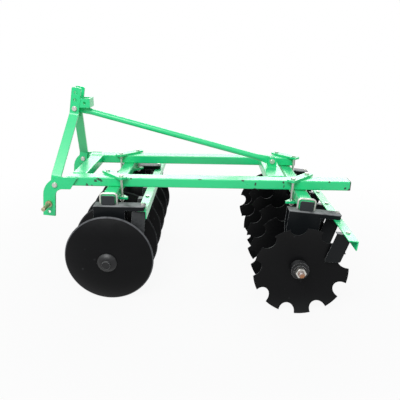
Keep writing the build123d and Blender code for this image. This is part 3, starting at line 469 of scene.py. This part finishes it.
def disc_gloss(gang, brightness, name):
    """Gloss black disc: turned marks round the axle, a scuffed ground bevel and a little dust; a high
    brightness paints a rim highlight.
    """
    colours = bpy.context.scene.harrow_colours
    material, tree, shader = new_material(name)
    low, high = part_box(f"{gang}_disc_1")
    rim = (high.z - low.z) / 2
    axle = (-(low.x + high.x) / 2, 0.0, -(low.z + high.z) / 2)
    flat = vector_calc(tree, "MULTIPLY", vector_calc(tree, "ADD", object_place(tree), axle), (1.0, 0.0, 1.0))
    spoke = vector_calc(tree, "NORMALIZE", flat)
    radius = vector_calc(tree, "LENGTH", flat, output="Value")
    film_inputs = {"Colour": (*colours.disc_black, 1.0), "Drift": 0.5, "Pebble Scale": 500.0}
    film = use_group(tree, "Paint film", film_inputs)
    rings = noise(tree, put(tree, "ShaderNodeCombineXYZ", {0: radius}).outputs[0], 260.0, 3.0)
    outward = vector_calc(tree, "DOT_PRODUCT", object_normal(tree), spoke, output="Value")
    worn_rim = ease(tree, noise(tree, object_place(tree), 30.0, 4.0), 0.25, 0.6, 0.45, 1.0)
    near_rim = ease(tree, radius, rim - 0.011, rim - 0.009)
    bevel = calc(tree, "MULTIPLY", ease(tree, outward, 0.45, 0.6), near_rim)
    ground = calc(tree, "MULTIPLY", bevel, worn_rim)
    scuffs = use_group(tree, "Chips", {"Scale": 26.0, "Share": 0.30})
    edges = use_group(tree, "Rubbed edges", {"Width": 0.0016, "Scale": 55.0, "Amount": 0.36})
    # The bevel's bare steel, scaled by brightness; the nearest front disc's higher value also paints a rim
    # highlight
    bared = calc(tree, "MULTIPLY", ground, brightness)
    bared = calc(tree, "MAXIMUM", bared, calc(tree, "MULTIPLY", edges["Mask"], 0.18))
    bared = calc(tree, "MAXIMUM", bared, calc(tree, "MULTIPLY", scuffs["Mask"], 0.08))
    lying = use_group(tree, "Dust and top sheen", {"Amount": 0.06})
    worn = tint(tree, bared, film["Colour"], BARE_DISC_AND_RIM_HIGHLIGHT)
    feed(tree, shader, "Base Color", tint(tree, lying["Mask"], worn, colours.dust_and_top_sheen))
    feed(tree, shader, "Roughness", calc(tree, "MULTIPLY_ADD", rings, 0.14, 0.24))
    feed(tree, shader, "Metallic", calc(tree, "MULTIPLY", bared, 0.5))
    feed(tree, shader, "Specular IOR Level", 0.08)
    height = calc(tree, "ADD", film["Height"], calc(tree, "MULTIPLY", rings, 1.6))
    bump(tree, shader, 0.25, 0.0003, height, edges["Normal"])
    return material


def plated(name, colour, *, rough, stain, stain_colour):
    """Plated steel: cloudy roughness, fine drawing marks, and stains where the plating is thin."""
    material, tree, shader = new_material(name)
    place = object_place(tree)
    cloud = noise(tree, place, 60.0, 4.0, 0.6)
    blotch = ease(tree, noise(tree, place, 28.0, 5.0, 0.7), 1.0 - stain, 1.15 - stain)
    edges = use_group(tree, "Rubbed edges", {"Width": 0.0009, "Scale": 200.0, "Amount": 0.1})
    toned = tint(tree, cloud, [0.78 * part for part in colour], colour)
    feed(tree, shader, "Base Color", tint(tree, blotch, toned, stain_colour))
    feed(tree, shader, "Metallic", calc(tree, "SUBTRACT", 0.9, calc(tree, "MULTIPLY", blotch, 0.8)))
    feed(tree, shader, "Roughness", calc(tree, "MULTIPLY_ADD", cloud, 0.25, rough))
    bump(tree, shader, 0.2, 0.0002, noise(tree, place, 900.0, 2.0), edges["Normal"])
    return material


def moulded_cap():
    """Moulded black plastic with a fine spark-eroded grain."""
    colours = bpy.context.scene.harrow_colours
    material, tree, shader = new_material("moulded cap")
    place = object_place(tree)
    edges = use_group(tree, "Rubbed edges", {"Width": 0.0018, "Scale": 120.0, "Amount": 0.22})
    lying = use_group(tree, "Dust and top sheen", {"Amount": 0.25, "Scale": 40.0})
    toned = tint(tree, edges["Mask"], colours.cap_black, WORN_CAP)
    feed(tree, shader, "Base Color", tint(tree, lying["Mask"], toned, colours.dust_and_top_sheen))
    feed(tree, shader, "Roughness", calc(tree, "MULTIPLY_ADD", noise(tree, place, 30.0), 0.15, 0.48))
    feed(tree, shader, "Specular IOR Level", 0.35)
    bump(tree, shader, 0.3, 0.0003, noise(tree, place, 1400.0, 1.0), edges["Normal"])
    return material


def dress(names, material):
    """Give CAD nodes one finish in each of their material slots."""
    for name in names:
        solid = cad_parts[name]
        if not solid.material_slots:
            solid.data.materials.append(material)
        for held in solid.material_slots:
            held.material = material


class HARROW_OT_finishes(Operator):
    """Give every solid of the harrow its paint, plating or bare steel"""

    bl_idname = "harrow.finishes"
    bl_label = "Finish the solids"

    def execute(self, context):
        for build in (edge_group, film_group, chip_group, dust_and_top_sheen_group):
            build()
        colours = context.scene.harrow_colours
        green = (colours.green, colours.green_scuff)
        plate = (colours.plate_black, colours.bare_steel)
        casting = (colours.casting_black, colours.bare_steel)
        dress(GREEN_NODES, painted("green enamel", *green, chips=0.20, **ENAMEL))
        near_tube = painted("chipped green enamel", *green, chips=0.12, marks=tube_marks, **ENAMEL)
        dress(["frame_tube_left"], near_tube)
        # The hangers' and scrapers' tops are painted light grey through their dust amount: partly dust,
        # partly a painted highlight
        dress(PLATE_NODES, painted("black plate paint", *plate, **PLATE_PAINT))
        dress(CASTING_NODES, painted("black casting paint", *casting, wear=0.32, **CASTING_PAINT))
        for gang in GANGS:
            discs = [f"{gang}_disc_{number}" for number in DISC_NUMBERS]
            dress(discs, disc_gloss(gang, 0.10, f"{gang} disc gloss"))
        # The nearest front disc gets a brighter bevel: ground steel and a painted rim highlight
        dress(["front_disc_1"], disc_gloss("front", 0.42, "front disc with ground bevel and painted rim highlight"))
        zinc = plated("bright zinc", colours.zinc, rough=0.26, stain=0.40, stain_colour=ZINC_STAIN)
        dress(ZINC_NODES, zinc)
        yellow = plated(
            "yellow zinc plating", colours.yellow_zinc, rough=0.30, stain=0.36, stain_colour=YELLOW_STAIN
        )
        dress(["lower_pin_left", "lower_pin_right"], yellow)
        rusty = plated(
            "turned steel with rust", colours.bare_steel, rough=0.36, stain=0.62, stain_colour=colours.rust
        )
        dress(["rear_shaft"], rusty)
        dress(["front_shaft"], painted("rubbed shaft paint", *casting, wear=0.72, **CASTING_PAINT))
        dress(["beam_caps", "tube_caps"], moulded_cap())
        return {"FINISHED"}


# Stage


def seen_or_mirrored(tree):
    """One for camera, glossy and transmission rays, and zero for those that light the harrow."""
    rays = put(tree, "ShaderNodeLightPath").outputs
    seen = calc(tree, "MAXIMUM", rays["Is Camera Ray"], rays["Is Glossy Ray"])
    return calc(tree, "MAXIMUM", seen, rays["Is Transmission Ray"])


def mix_white(tree, kind, shaded, share, output):
    """Mix a share of plain white into a floor or world shader, and link it to the tree's output."""
    white = put(tree, kind, {"Color": WHITE, "Strength": 1.0}).outputs[0]
    mix = put(tree, "ShaderNodeMixShader", {0: share, 1: shaded, 2: white})
    feed(tree, tree.nodes[output], "Surface", mix.outputs[0])


def stage_floor(radius):
    """Round level sheet: rings of a polar grid, x = r cos a, y = r sin a, z = 0."""
    rings = np.concatenate([[0.0001], np.linspace(0.5, radius, 12)])
    angles = np.linspace(0.0, TURN, 96, endpoint=False)
    x, y = np.outer(rings, np.cos(angles)), np.outer(rings, np.sin(angles))
    floor = grid_object("floor", [np.stack([x, y, np.zeros_like(x)], axis=-1)], cap=False)
    material, tree, shader = new_material("pale floor")
    feed(tree, shader, "Base Color", (0.45, 0.45, 0.45, 1.0))
    feed(tree, shader, "Roughness", 0.9)
    feed(tree, shader, "Specular IOR Level", 0.1)
    distance = vector_calc(tree, "LENGTH", object_place(tree), output="Value")
    share = calc(tree, "MULTIPLY", seen_or_mirrored(tree), ease(tree, distance, 0.9, 2.6, 0.92, 1.0))
    mix_white(tree, "ShaderNodeEmission", shader.outputs[0], share, "Material Output")
    floor.data.materials.append(material)


def stage_world():
    """World: soft grey light, white where it is seen or mirrored."""
    world = bpy.data.worlds.new("studio")
    bpy.context.scene.world = world
    world.use_nodes = True
    tree = world.node_tree
    soft = tree.nodes["Background"]
    feed(tree, soft, "Color", (0.95, 0.98, 1.0, 1.0))
    feed(tree, soft, "Strength", 0.66)
    mix_white(tree, "ShaderNodeBackground", soft.outputs[0], seen_or_mirrored(tree), "World Output")


def stage_lamp(name, place, size, watts):
    """Soft rectangular lamp at place, facing the harrow."""
    lamp = bpy.data.lights.new(name, "AREA")
    lamp.shape = "RECTANGLE"
    lamp.size, lamp.size_y = size
    lamp.energy = watts
    holder = bpy.data.objects.new(name, lamp)
    bpy.context.scene.collection.objects.link(holder)
    turn = (Vector(LAMP_AIM) - Vector(place)).to_track_quat("-Z", "Y")
    holder.matrix_world = Matrix.LocRotScale(Vector(place), turn, None)


def stage_camera(stage):
    """Camera: forward from yaw and pitch, then rolled about it; the shift brings in the principal point."""
    forward = Vector(
        (
            math.sin(stage.yaw) * math.cos(stage.pitch),
            math.cos(stage.yaw) * math.cos(stage.pitch),
            -math.sin(stage.pitch),
        )
    )
    level = Vector((math.cos(stage.yaw), -math.sin(stage.yaw), 0.0))
    upright = level.cross(forward)
    right = math.cos(stage.roll) * level + math.sin(stage.roll) * upright
    up = math.cos(stage.roll) * upright - math.sin(stage.roll) * level
    camera = bpy.data.cameras.new("camera")
    camera.sensor_width = SENSOR_MM
    camera.sensor_fit = "HORIZONTAL"
    camera.lens = stage.focal_pixels * SENSOR_MM / PHOTO_PIXELS
    camera.shift_x = (PHOTO_PIXELS / 2 - stage.centre_x) / PHOTO_PIXELS
    camera.shift_y = (stage.centre_y - PHOTO_PIXELS / 2) / PHOTO_PIXELS
    holder = bpy.data.objects.new("camera", camera)
    bpy.context.scene.collection.objects.link(holder)
    turn = Matrix((right, up, -forward)).transposed().to_4x4()
    left_tube, right_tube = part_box("frame_tube_left"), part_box("frame_tube_right")
    middle = (left_tube[0].y + right_tube[1].y) / 2
    spot = (left_tube[0].x + stage.camera_back, middle - stage.camera_aside, stage.camera_height)
    holder.matrix_world = Matrix.Translation(spot) @ turn
    bpy.context.scene.camera = holder


class HARROW_OT_stage(Operator):
    """Lay the floor, light the studio and set the camera where the photograph was taken"""

    bl_idname = "harrow.stage"
    bl_label = "Set the stage"

    def execute(self, context):
        stage = context.scene.harrow_stage
        stage_floor(stage.floor_radius)
        stage_world()
        stage_lamp("key", KEY_PLACE, KEY_SIZE, stage.key_watts)
        stage_lamp("sky", SKY_PLACE, SKY_SIZE, stage.sky_watts)
        stage_camera(stage)
        context.scene.view_settings.view_transform = "Standard"
        return {"FINISHED"}


# Surfaces worked out on grids


def grid_faces(rows, columns, start):
    """Quads between neighbouring points of a grid whose columns close on themselves."""
    row = np.arange(rows - 1)[:, None] * columns
    below = row + columns
    column = np.arange(columns)[None, :]
    beside = (column + 1) % columns
    corners = np.broadcast_arrays(row + column, row + beside, below + beside, below + column)
    return (start + np.stack(corners, axis=-1).reshape(-1, 4)).tolist()


def grid_object(name, grids, cap=True):
    """One mesh of many grids of points (rows, columns, 3), each closed around; open ends get flat caps."""
    points = []
    faces = []
    count = 0
    for grid in grids:
        rows, columns = grid.shape[:2]
        faces += grid_faces(rows, columns, count)
        if cap:
            first = count + np.arange(columns)
            faces += [first[::-1].tolist(), (first + (rows - 1) * columns).tolist()]
        points.append(grid.reshape(-1, 3))
        count += rows * columns
    mesh = bpy.data.meshes.new(name)
    mesh.from_pydata(np.concatenate(points).tolist(), [], faces)
    mesh.update()
    piece = bpy.data.objects.new(name, mesh)
    bpy.context.scene.collection.objects.link(piece)
    return piece


def finish_piece(piece, body, material):
    """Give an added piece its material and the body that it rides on."""
    piece.data.materials.append(bpy.data.materials[material])
    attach(piece, body)
    return piece


def frame_along(direction):
    """Two unit vectors square to a direction, the first crossed with the second giving it."""
    along = np.asarray(direction, float)
    along = along / np.linalg.norm(along)
    helper = np.array((1.0, 0.0, 0.0)) if abs(along[0]) < 0.9 else np.array((0.0, 1.0, 0.0))
    second = np.cross(along, helper)
    second = second / np.linalg.norm(second)
    return np.cross(second, along), second, along


def round_grid(origin, direction, heights, radii, columns):
    """Surface round an axis: at height h and turn a its radius is radii(h, a)."""
    first, second, along = frame_along(direction)
    turns = np.linspace(0.0, TURN, columns, endpoint=False)
    heights = np.asarray(heights, float)
    radii = np.asarray(radii, float).reshape(len(heights), -1) * np.ones((1, columns))
    spokes = np.cos(turns)[:, None] * first + np.sin(turns)[:, None] * second
    return np.asarray(origin) + heights[:, None, None] * along + radii[..., None] * spokes


def hexagon_grid(origin, direction, low, high, corner, columns, low_bevel=False):
    """Hexagon prism: radius apothem / cos(a mod 60 - 30), held in a 30 degree cone near a bevelled end."""
    apothem = corner * math.cos(HALF_FLAT)
    bevel = 0.1 * corner
    heights = np.array([low, low + bevel / 2, low + bevel, high - bevel, high - bevel / 2, high])
    turns = np.degrees(np.linspace(0.0, TURN, columns, endpoint=False))
    flats = apothem / np.cos(np.radians(turns % 60 - 30))
    room = np.minimum(high - heights, heights - low) if low_bevel else high - heights
    cone = 0.95 * apothem + room / math.tan(HALF_FLAT)
    return round_grid(origin, direction, heights, np.minimum(flats[None, :], cone[:, None]), columns)


def thread_grid(origin, direction, low, high, root, depth, pitch, columns):
    """Thread: root radius + depth x triangle wave of (h / pitch - a / turn), fading out at both ends."""
    heights = np.linspace(low, high, int(6 * (high - low) / pitch) + 2)
    turns = np.linspace(0.0, 1.0, columns, endpoint=False)
    wave = np.abs(2 * ((heights[:, None] / pitch - turns[None, :]) % 1.0) - 1)
    fade = np.clip(np.minimum(heights - low, high - heights) / (0.5 * pitch), 0.0, 1.0)
    return round_grid(origin, direction, heights, root + depth * wave * fade[:, None], columns)


# Bolts


def separate_solids(node):
    """Points of each separate solid of a node, in metres: labels spread over shared corners."""
    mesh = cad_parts[node].data
    points = np.empty(len(mesh.vertices) * 3)
    mesh.vertices.foreach_get("co", points)
    mesh.calc_loop_triangles()
    corners = np.empty(len(mesh.loop_triangles) * 3, dtype=np.int64)
    mesh.loop_triangles.foreach_get("vertices", corners)
    points = points.reshape(-1, 3)
    whole, joined = np.unique(np.round(points * 1e6).astype(np.int64), axis=0, return_inverse=True)
    triangles = joined.reshape(-1)[corners].reshape(-1, 3)
    labels = np.arange(len(whole))
    while True:
        least = labels[triangles].min(axis=1)
        spread = labels.copy()
        np.minimum.at(spread, triangles.reshape(-1), np.repeat(least, 3))
        spread = spread[spread]
        if np.array_equal(spread, labels):
            break
        labels = spread
    return [whole[labels == label] / 1e6 for label in np.unique(labels)]


def read_bolt(points):
    """Seat, direction towards the head, shank radius, grip and tail of one bolt, from its solid's points."""
    spread = points - points.mean(axis=0)
    direction = np.linalg.svd(spread, full_matrices=False)[2][0]
    first, second, direction = frame_along(direction)
    across = np.stack([points @ first, points @ second], axis=1)
    middle = (across.max(axis=0) + across.min(axis=0)) / 2
    heights = points @ direction
    reach = np.linalg.norm(across - middle, axis=1)
    wide = reach > 0.95 * reach.max()
    if heights[wide].max() < heights.max() - 0.0005:
        direction, heights = -direction, -heights
    radius = reach.max() / BOLT_CORNER
    levels = heights[wide]
    head_seat = levels.max() - HEAD_HEIGHT * radius
    nut_seat = levels.min() + NUT_HEIGHT * radius
    seat = middle[0] * first + middle[1] * second + head_seat * direction
    return seat, direction, radius, head_seat - nut_seat, nut_seat - heights.min()


def bolt_grids(points, sizes, long_thread):
    """Bevelled head and nut, two washers, plain shank and threaded tail in place of one plain bolt."""
    seat, direction, radius, grip, tail = read_bolt(points)
    corner, columns = BOLT_CORNER * radius, sizes.columns
    rim = WASHER_RIM * radius
    ring = (rim - WASHER_EDGE, rim, rim, rim - WASHER_EDGE)
    steps = np.array((0.0, 0.2, 0.8, 1.0)) * sizes.washer
    thread_top = -grip + min(sizes.thread_length if long_thread else 0.0, 0.6 * grip)
    depth = THREAD_DEPTH * radius
    tail_thread = thread_grid(
        seat, direction, -grip - tail, thread_top, radius - depth, depth, sizes.thread_pitch, columns // 2
    )
    return [
        hexagon_grid(seat, direction, 0.0, HEAD_HEIGHT * radius, corner, columns),
        round_grid(seat, direction, steps, ring, columns),
        round_grid(seat, direction, (thread_top - 0.0005, 0.001), (radius, radius), columns),
        tail_thread,
        hexagon_grid(seat, direction, -grip - NUT_HEIGHT * radius, -grip, corner, columns, True),
        round_grid(seat, direction, -grip - steps[::-1], ring, columns),
    ]


def replace_bolts(name, node, long_thread=False):
    """One piece of finished bolts in place of a node of plain ones."""
    sizes = bpy.context.scene.harrow_sizes
    grids = []
    for points in separate_solids(node):
        grids += bolt_grids(points, sizes, long_thread)
    piece = finish_piece(grid_object(name, grids), "frame", "bright zinc")
    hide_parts(node)


class HARROW_OT_bolts(Operator):
    """Put bevelled heads, washers and threads in place of the plain bolts"""

    bl_idname = "harrow.bolts"
    bl_label = "Bolts"

    def execute(self, context):
        replace_bolts("clamp_bolt_set", "clamp_bolts", True)
        replace_bolts("mast_bolt_set", "mast_bolts")
        replace_bolts("arm_bolt_set", "arm_bolts")
        return {"FINISHED"}


class HARROW_OT_shaft_ends(Operator):
    """Thread the gang shafts' ends and bevel their nuts"""

    bl_idname = "harrow.shaft_ends"
    bl_label = "Shaft ends"

    def execute(self, context):
        sizes = context.scene.harrow_sizes
        for gang in GANGS:
            body = f"{gang}_gang"
            low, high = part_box(f"{gang}_nut")
            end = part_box(f"{gang}_shaft")
            way = 1.0 if high.y + low.y > 0 else -1.0
            outer, inner = (high.y, low.y) if way > 0 else (low.y, high.y)
            tip = end[1].y if way > 0 else end[0].y
            axle = ((low.x + high.x) / 2, 0.0, (low.z + high.z) / 2)
            direction = (0.0, way, 0.0)
            corner = (high.x - low.x) / 2
            nut = hexagon_grid(axle, direction, way * inner, way * outer, corner, sizes.columns, True)
            nut_piece = grid_object(f"{gang}_shaft_nut", [nut])
            finish_piece(nut_piece, body, "bright zinc")
            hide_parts(f"{gang}_nut")
            thread = thread_grid(
                axle, direction, way * outer - THREAD_SEAT, way * tip - SHAFT_CHAMFER,
                SHAFT_THREAD_ROOT, SHAFT_THREAD_DEPTH, sizes.shaft_pitch, sizes.columns,
            )
            piece = grid_object(f"{gang}_shaft_thread", [thread])
            finish_piece(piece, body, "turned steel with rust")
        return {"FINISHED"}


class HARROW_OT_u_bolt_threads(Operator):
    """Thread the tails of the U-bolts"""

    bl_idname = "harrow.u_bolt_threads"
    bl_label = "U-bolt threads"

    def execute(self, context):
        sizes = context.scene.harrow_sizes
        arm_bolts = [read_bolt(points) for points in separate_solids("arm_bolts")]
        rear = [bolt[1] * math.copysign(1.0, bolt[1][2]) for bolt in arm_bolts if bolt[0][0] > 0]
        leaning = np.mean(rear, axis=0)
        grids = []
        for points in separate_solids("u_bolts"):
            up = np.array((0.0, 0.0, 1.0)) if points[:, 0].mean() < 0 else leaning
            up = up / np.linalg.norm(up)
            ahead = np.cross((0.0, 1.0, 0.0), up)
            along = points @ ahead
            tail = (points @ up).min()
            side_low, side_high = points[:, 1].min(), points[:, 1].max()
            nut_radius = (side_high - side_low) / 2
            rod = nut_radius / BOLT_CORNER
            half = (along.max() - along.min()) / 2 - nut_radius * math.cos(HALF_FLAT)
            middle = (along.max() + along.min()) / 2
            side = np.array((0.0, (side_high + side_low) / 2, 0.0))
            for way in (-1.0, 1.0):
                foot = (middle + way * half) * ahead + tail * up + side
                thread = thread_grid(
                    foot, up, 0.001, U_BOLT_TAIL, rod * 1.004, 0.05 * rod, sizes.thread_pitch,
                    sizes.columns // 2,
                )
                grids.append(thread)
        finish_piece(grid_object("u_bolt_threads", grids), "frame", "bright zinc")
        return {"FINISHED"}


# Welds and grease nipples


def bead_grid(start, end, radius, step):
    """Weld bead from start to end: a tube whose radius swells with |sin| of the run, round at both ends."""
    start, end = np.asarray(start, float), np.asarray(end, float)
    length = np.linalg.norm(end - start)
    run = np.linspace(0.0, length, max(8, int(5 * length / step)))
    swell = 0.86 + 0.14 * np.abs(np.sin(math.pi * run / step))
    nose = np.sqrt(np.clip(np.minimum(run, length - run) / radius, 0.04, 1.0))
    return round_grid(start, end - start, run, radius * swell * nose, 12)


def loop_beads(low, high, sizes, sides):
    """Beads along the named edges of the rectangle where a member meets a face across Y."""
    corners = {
        "top": ((low.x + CORNER_INSET, high.z), (high.x - CORNER_INSET, high.z)),
        "bottom": ((low.x + CORNER_INSET, low.z), (high.x - CORNER_INSET, low.z)),
        "front": ((low.x, low.z + CORNER_INSET), (low.x, high.z - CORNER_INSET)),
        "rear": ((high.x, low.z + CORNER_INSET), (high.x, high.z - CORNER_INSET)),
    }
    beads = []
    for side in sides:
        (start_x, start_z), (end_x, end_z) = corners[side]
        for y in (low.y, high.y):
            start, end = (start_x, y, start_z), (end_x, y, end_z)
            beads.append(bead_grid(start, end, sizes.bead_radius, sizes.bead_step))
    return beads


class HARROW_OT_welds(Operator):
    """Lay rippled weld beads where the frame's members meet"""

    bl_idname = "harrow.welds"
    bl_label = "Weld beads"

    def execute(self, context):
        sizes = context.scene.harrow_sizes
        radius, step = sizes.bead_radius, sizes.bead_step
        slim = 0.8 * radius
        low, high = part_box("front_cross_tube")
        beads = loop_beads(low, high, sizes, ("top", "bottom", "front", "rear"))
        low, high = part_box("rear_cross_member")
        beads += loop_beads(low, high, sizes, ("top", "front", "rear"))
        low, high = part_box("brace_ears")
        for y in (low.y, high.y):
            beads.append(bead_grid((low.x + 0.002, y, low.z), (high.x - 0.002, y, low.z), radius, step))
        for x in (low.x, high.x):
            beads.append(bead_grid((x, low.y + 0.002, low.z), (x, high.y - 0.002, low.z), radius, step))
        low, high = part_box("mast_bracket")
        lean = 0.2 * (high.z - low.z)
        for y in (low.y, high.y):
            start, end = (low.x, y, low.z + 0.003), (low.x + lean, y, high.z - 0.003)
            beads.append(bead_grid(start, end, slim, step))
        for side in SIDES:
            plate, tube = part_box(f"hitch_plate_{side}"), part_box(f"frame_tube_{side}")
            seam = tube[0].y if side == "left" else tube[1].y
            start, end = tube[0].x + 0.004, plate[1].x
            beads.append(bead_grid((start, seam, tube[1].z), (end - 0.004, seam, tube[1].z), slim, step))
            beads.append(bead_grid((start, seam, tube[0].z), (end - 0.040, seam, tube[0].z), radius, step))
        finish_piece(grid_object("weld_beads", beads), "frame", "green enamel")
        return {"FINISHED"}


class HARROW_OT_nipples(Operator):
    """Screw a grease nipple into each bearing housing"""

    bl_idname = "harrow.nipples"
    bl_label = "Grease nipples"

    def execute(self, context):
        sizes = context.scene.harrow_sizes
        tall = sizes.nipple
        lean = math.radians(15.0)
        direction = np.array((-math.cos(lean), 0.0, -math.sin(lean)))
        heights = np.array((0.25, 0.42, 0.52, 0.66, 0.8, 0.92, 1.0)) * tall
        ball = np.array((0.24, 0.22, 0.17, 0.25, 0.28, 0.22, 0.10)) * tall
        grids = []
        for gang in GANGS:
            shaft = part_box(f"{gang}_shaft")
            axle_x, axle_z = (shaft[0].x + shaft[1].x) / 2, (shaft[0].z + shaft[1].z) / 2
            for side in SIDES:
                low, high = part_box(f"{gang}_bearing_{side}")
                housing = axle_z - low.z
                foot = np.array((axle_x, (low.y + high.y) / 2, axle_z)) + (housing - 0.001) * direction
                grids.append(hexagon_grid(foot, direction, 0.0, 0.35 * tall, 0.4 * tall, sizes.columns))
                grids.append(round_grid(foot, direction, heights, ball, sizes.columns))
        finish_piece(grid_object("grease_nipples", grids), "frame", "bright zinc")
        return {"FINISHED"}


class HARROW_PT_panel(Panel):
    """The harrow's finishes and stage"""

    bl_idname = "HARROW_PT_panel"
    bl_label = "Disc harrow"
    bl_space_type = "VIEW_3D"
    bl_region_type = "UI"
    bl_category = "Harrow"

    def draw(self, context):
        column = self.layout.column()
        for step in STEPS:
            column.operator(step.bl_idname)


STEPS = [
    HARROW_OT_finishes, HARROW_OT_bolts, HARROW_OT_shaft_ends, HARROW_OT_u_bolt_threads, HARROW_OT_welds,
    HARROW_OT_nipples, HARROW_OT_stage,
]
CLASSES = [HarrowColours, HarrowSizes, HarrowStage, *STEPS, HARROW_PT_panel]


def register():
    for entry in CLASSES:
        bpy.utils.register_class(entry)
    bpy.types.Scene.harrow_colours = PointerProperty(type=HarrowColours)
    bpy.types.Scene.harrow_sizes = PointerProperty(type=HarrowSizes)
    bpy.types.Scene.harrow_stage = PointerProperty(type=HarrowStage)


def unregister():
    del bpy.types.Scene.harrow_colours
    del bpy.types.Scene.harrow_sizes
    del bpy.types.Scene.harrow_stage
    for entry in reversed(CLASSES):
        bpy.utils.unregister_class(entry)


def main():
    register()
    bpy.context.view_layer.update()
    for step in STEPS:
        group, action = step.bl_idname.split(".")
        getattr(getattr(bpy.ops, group), action)()


if __name__ == "__main__":
    main()
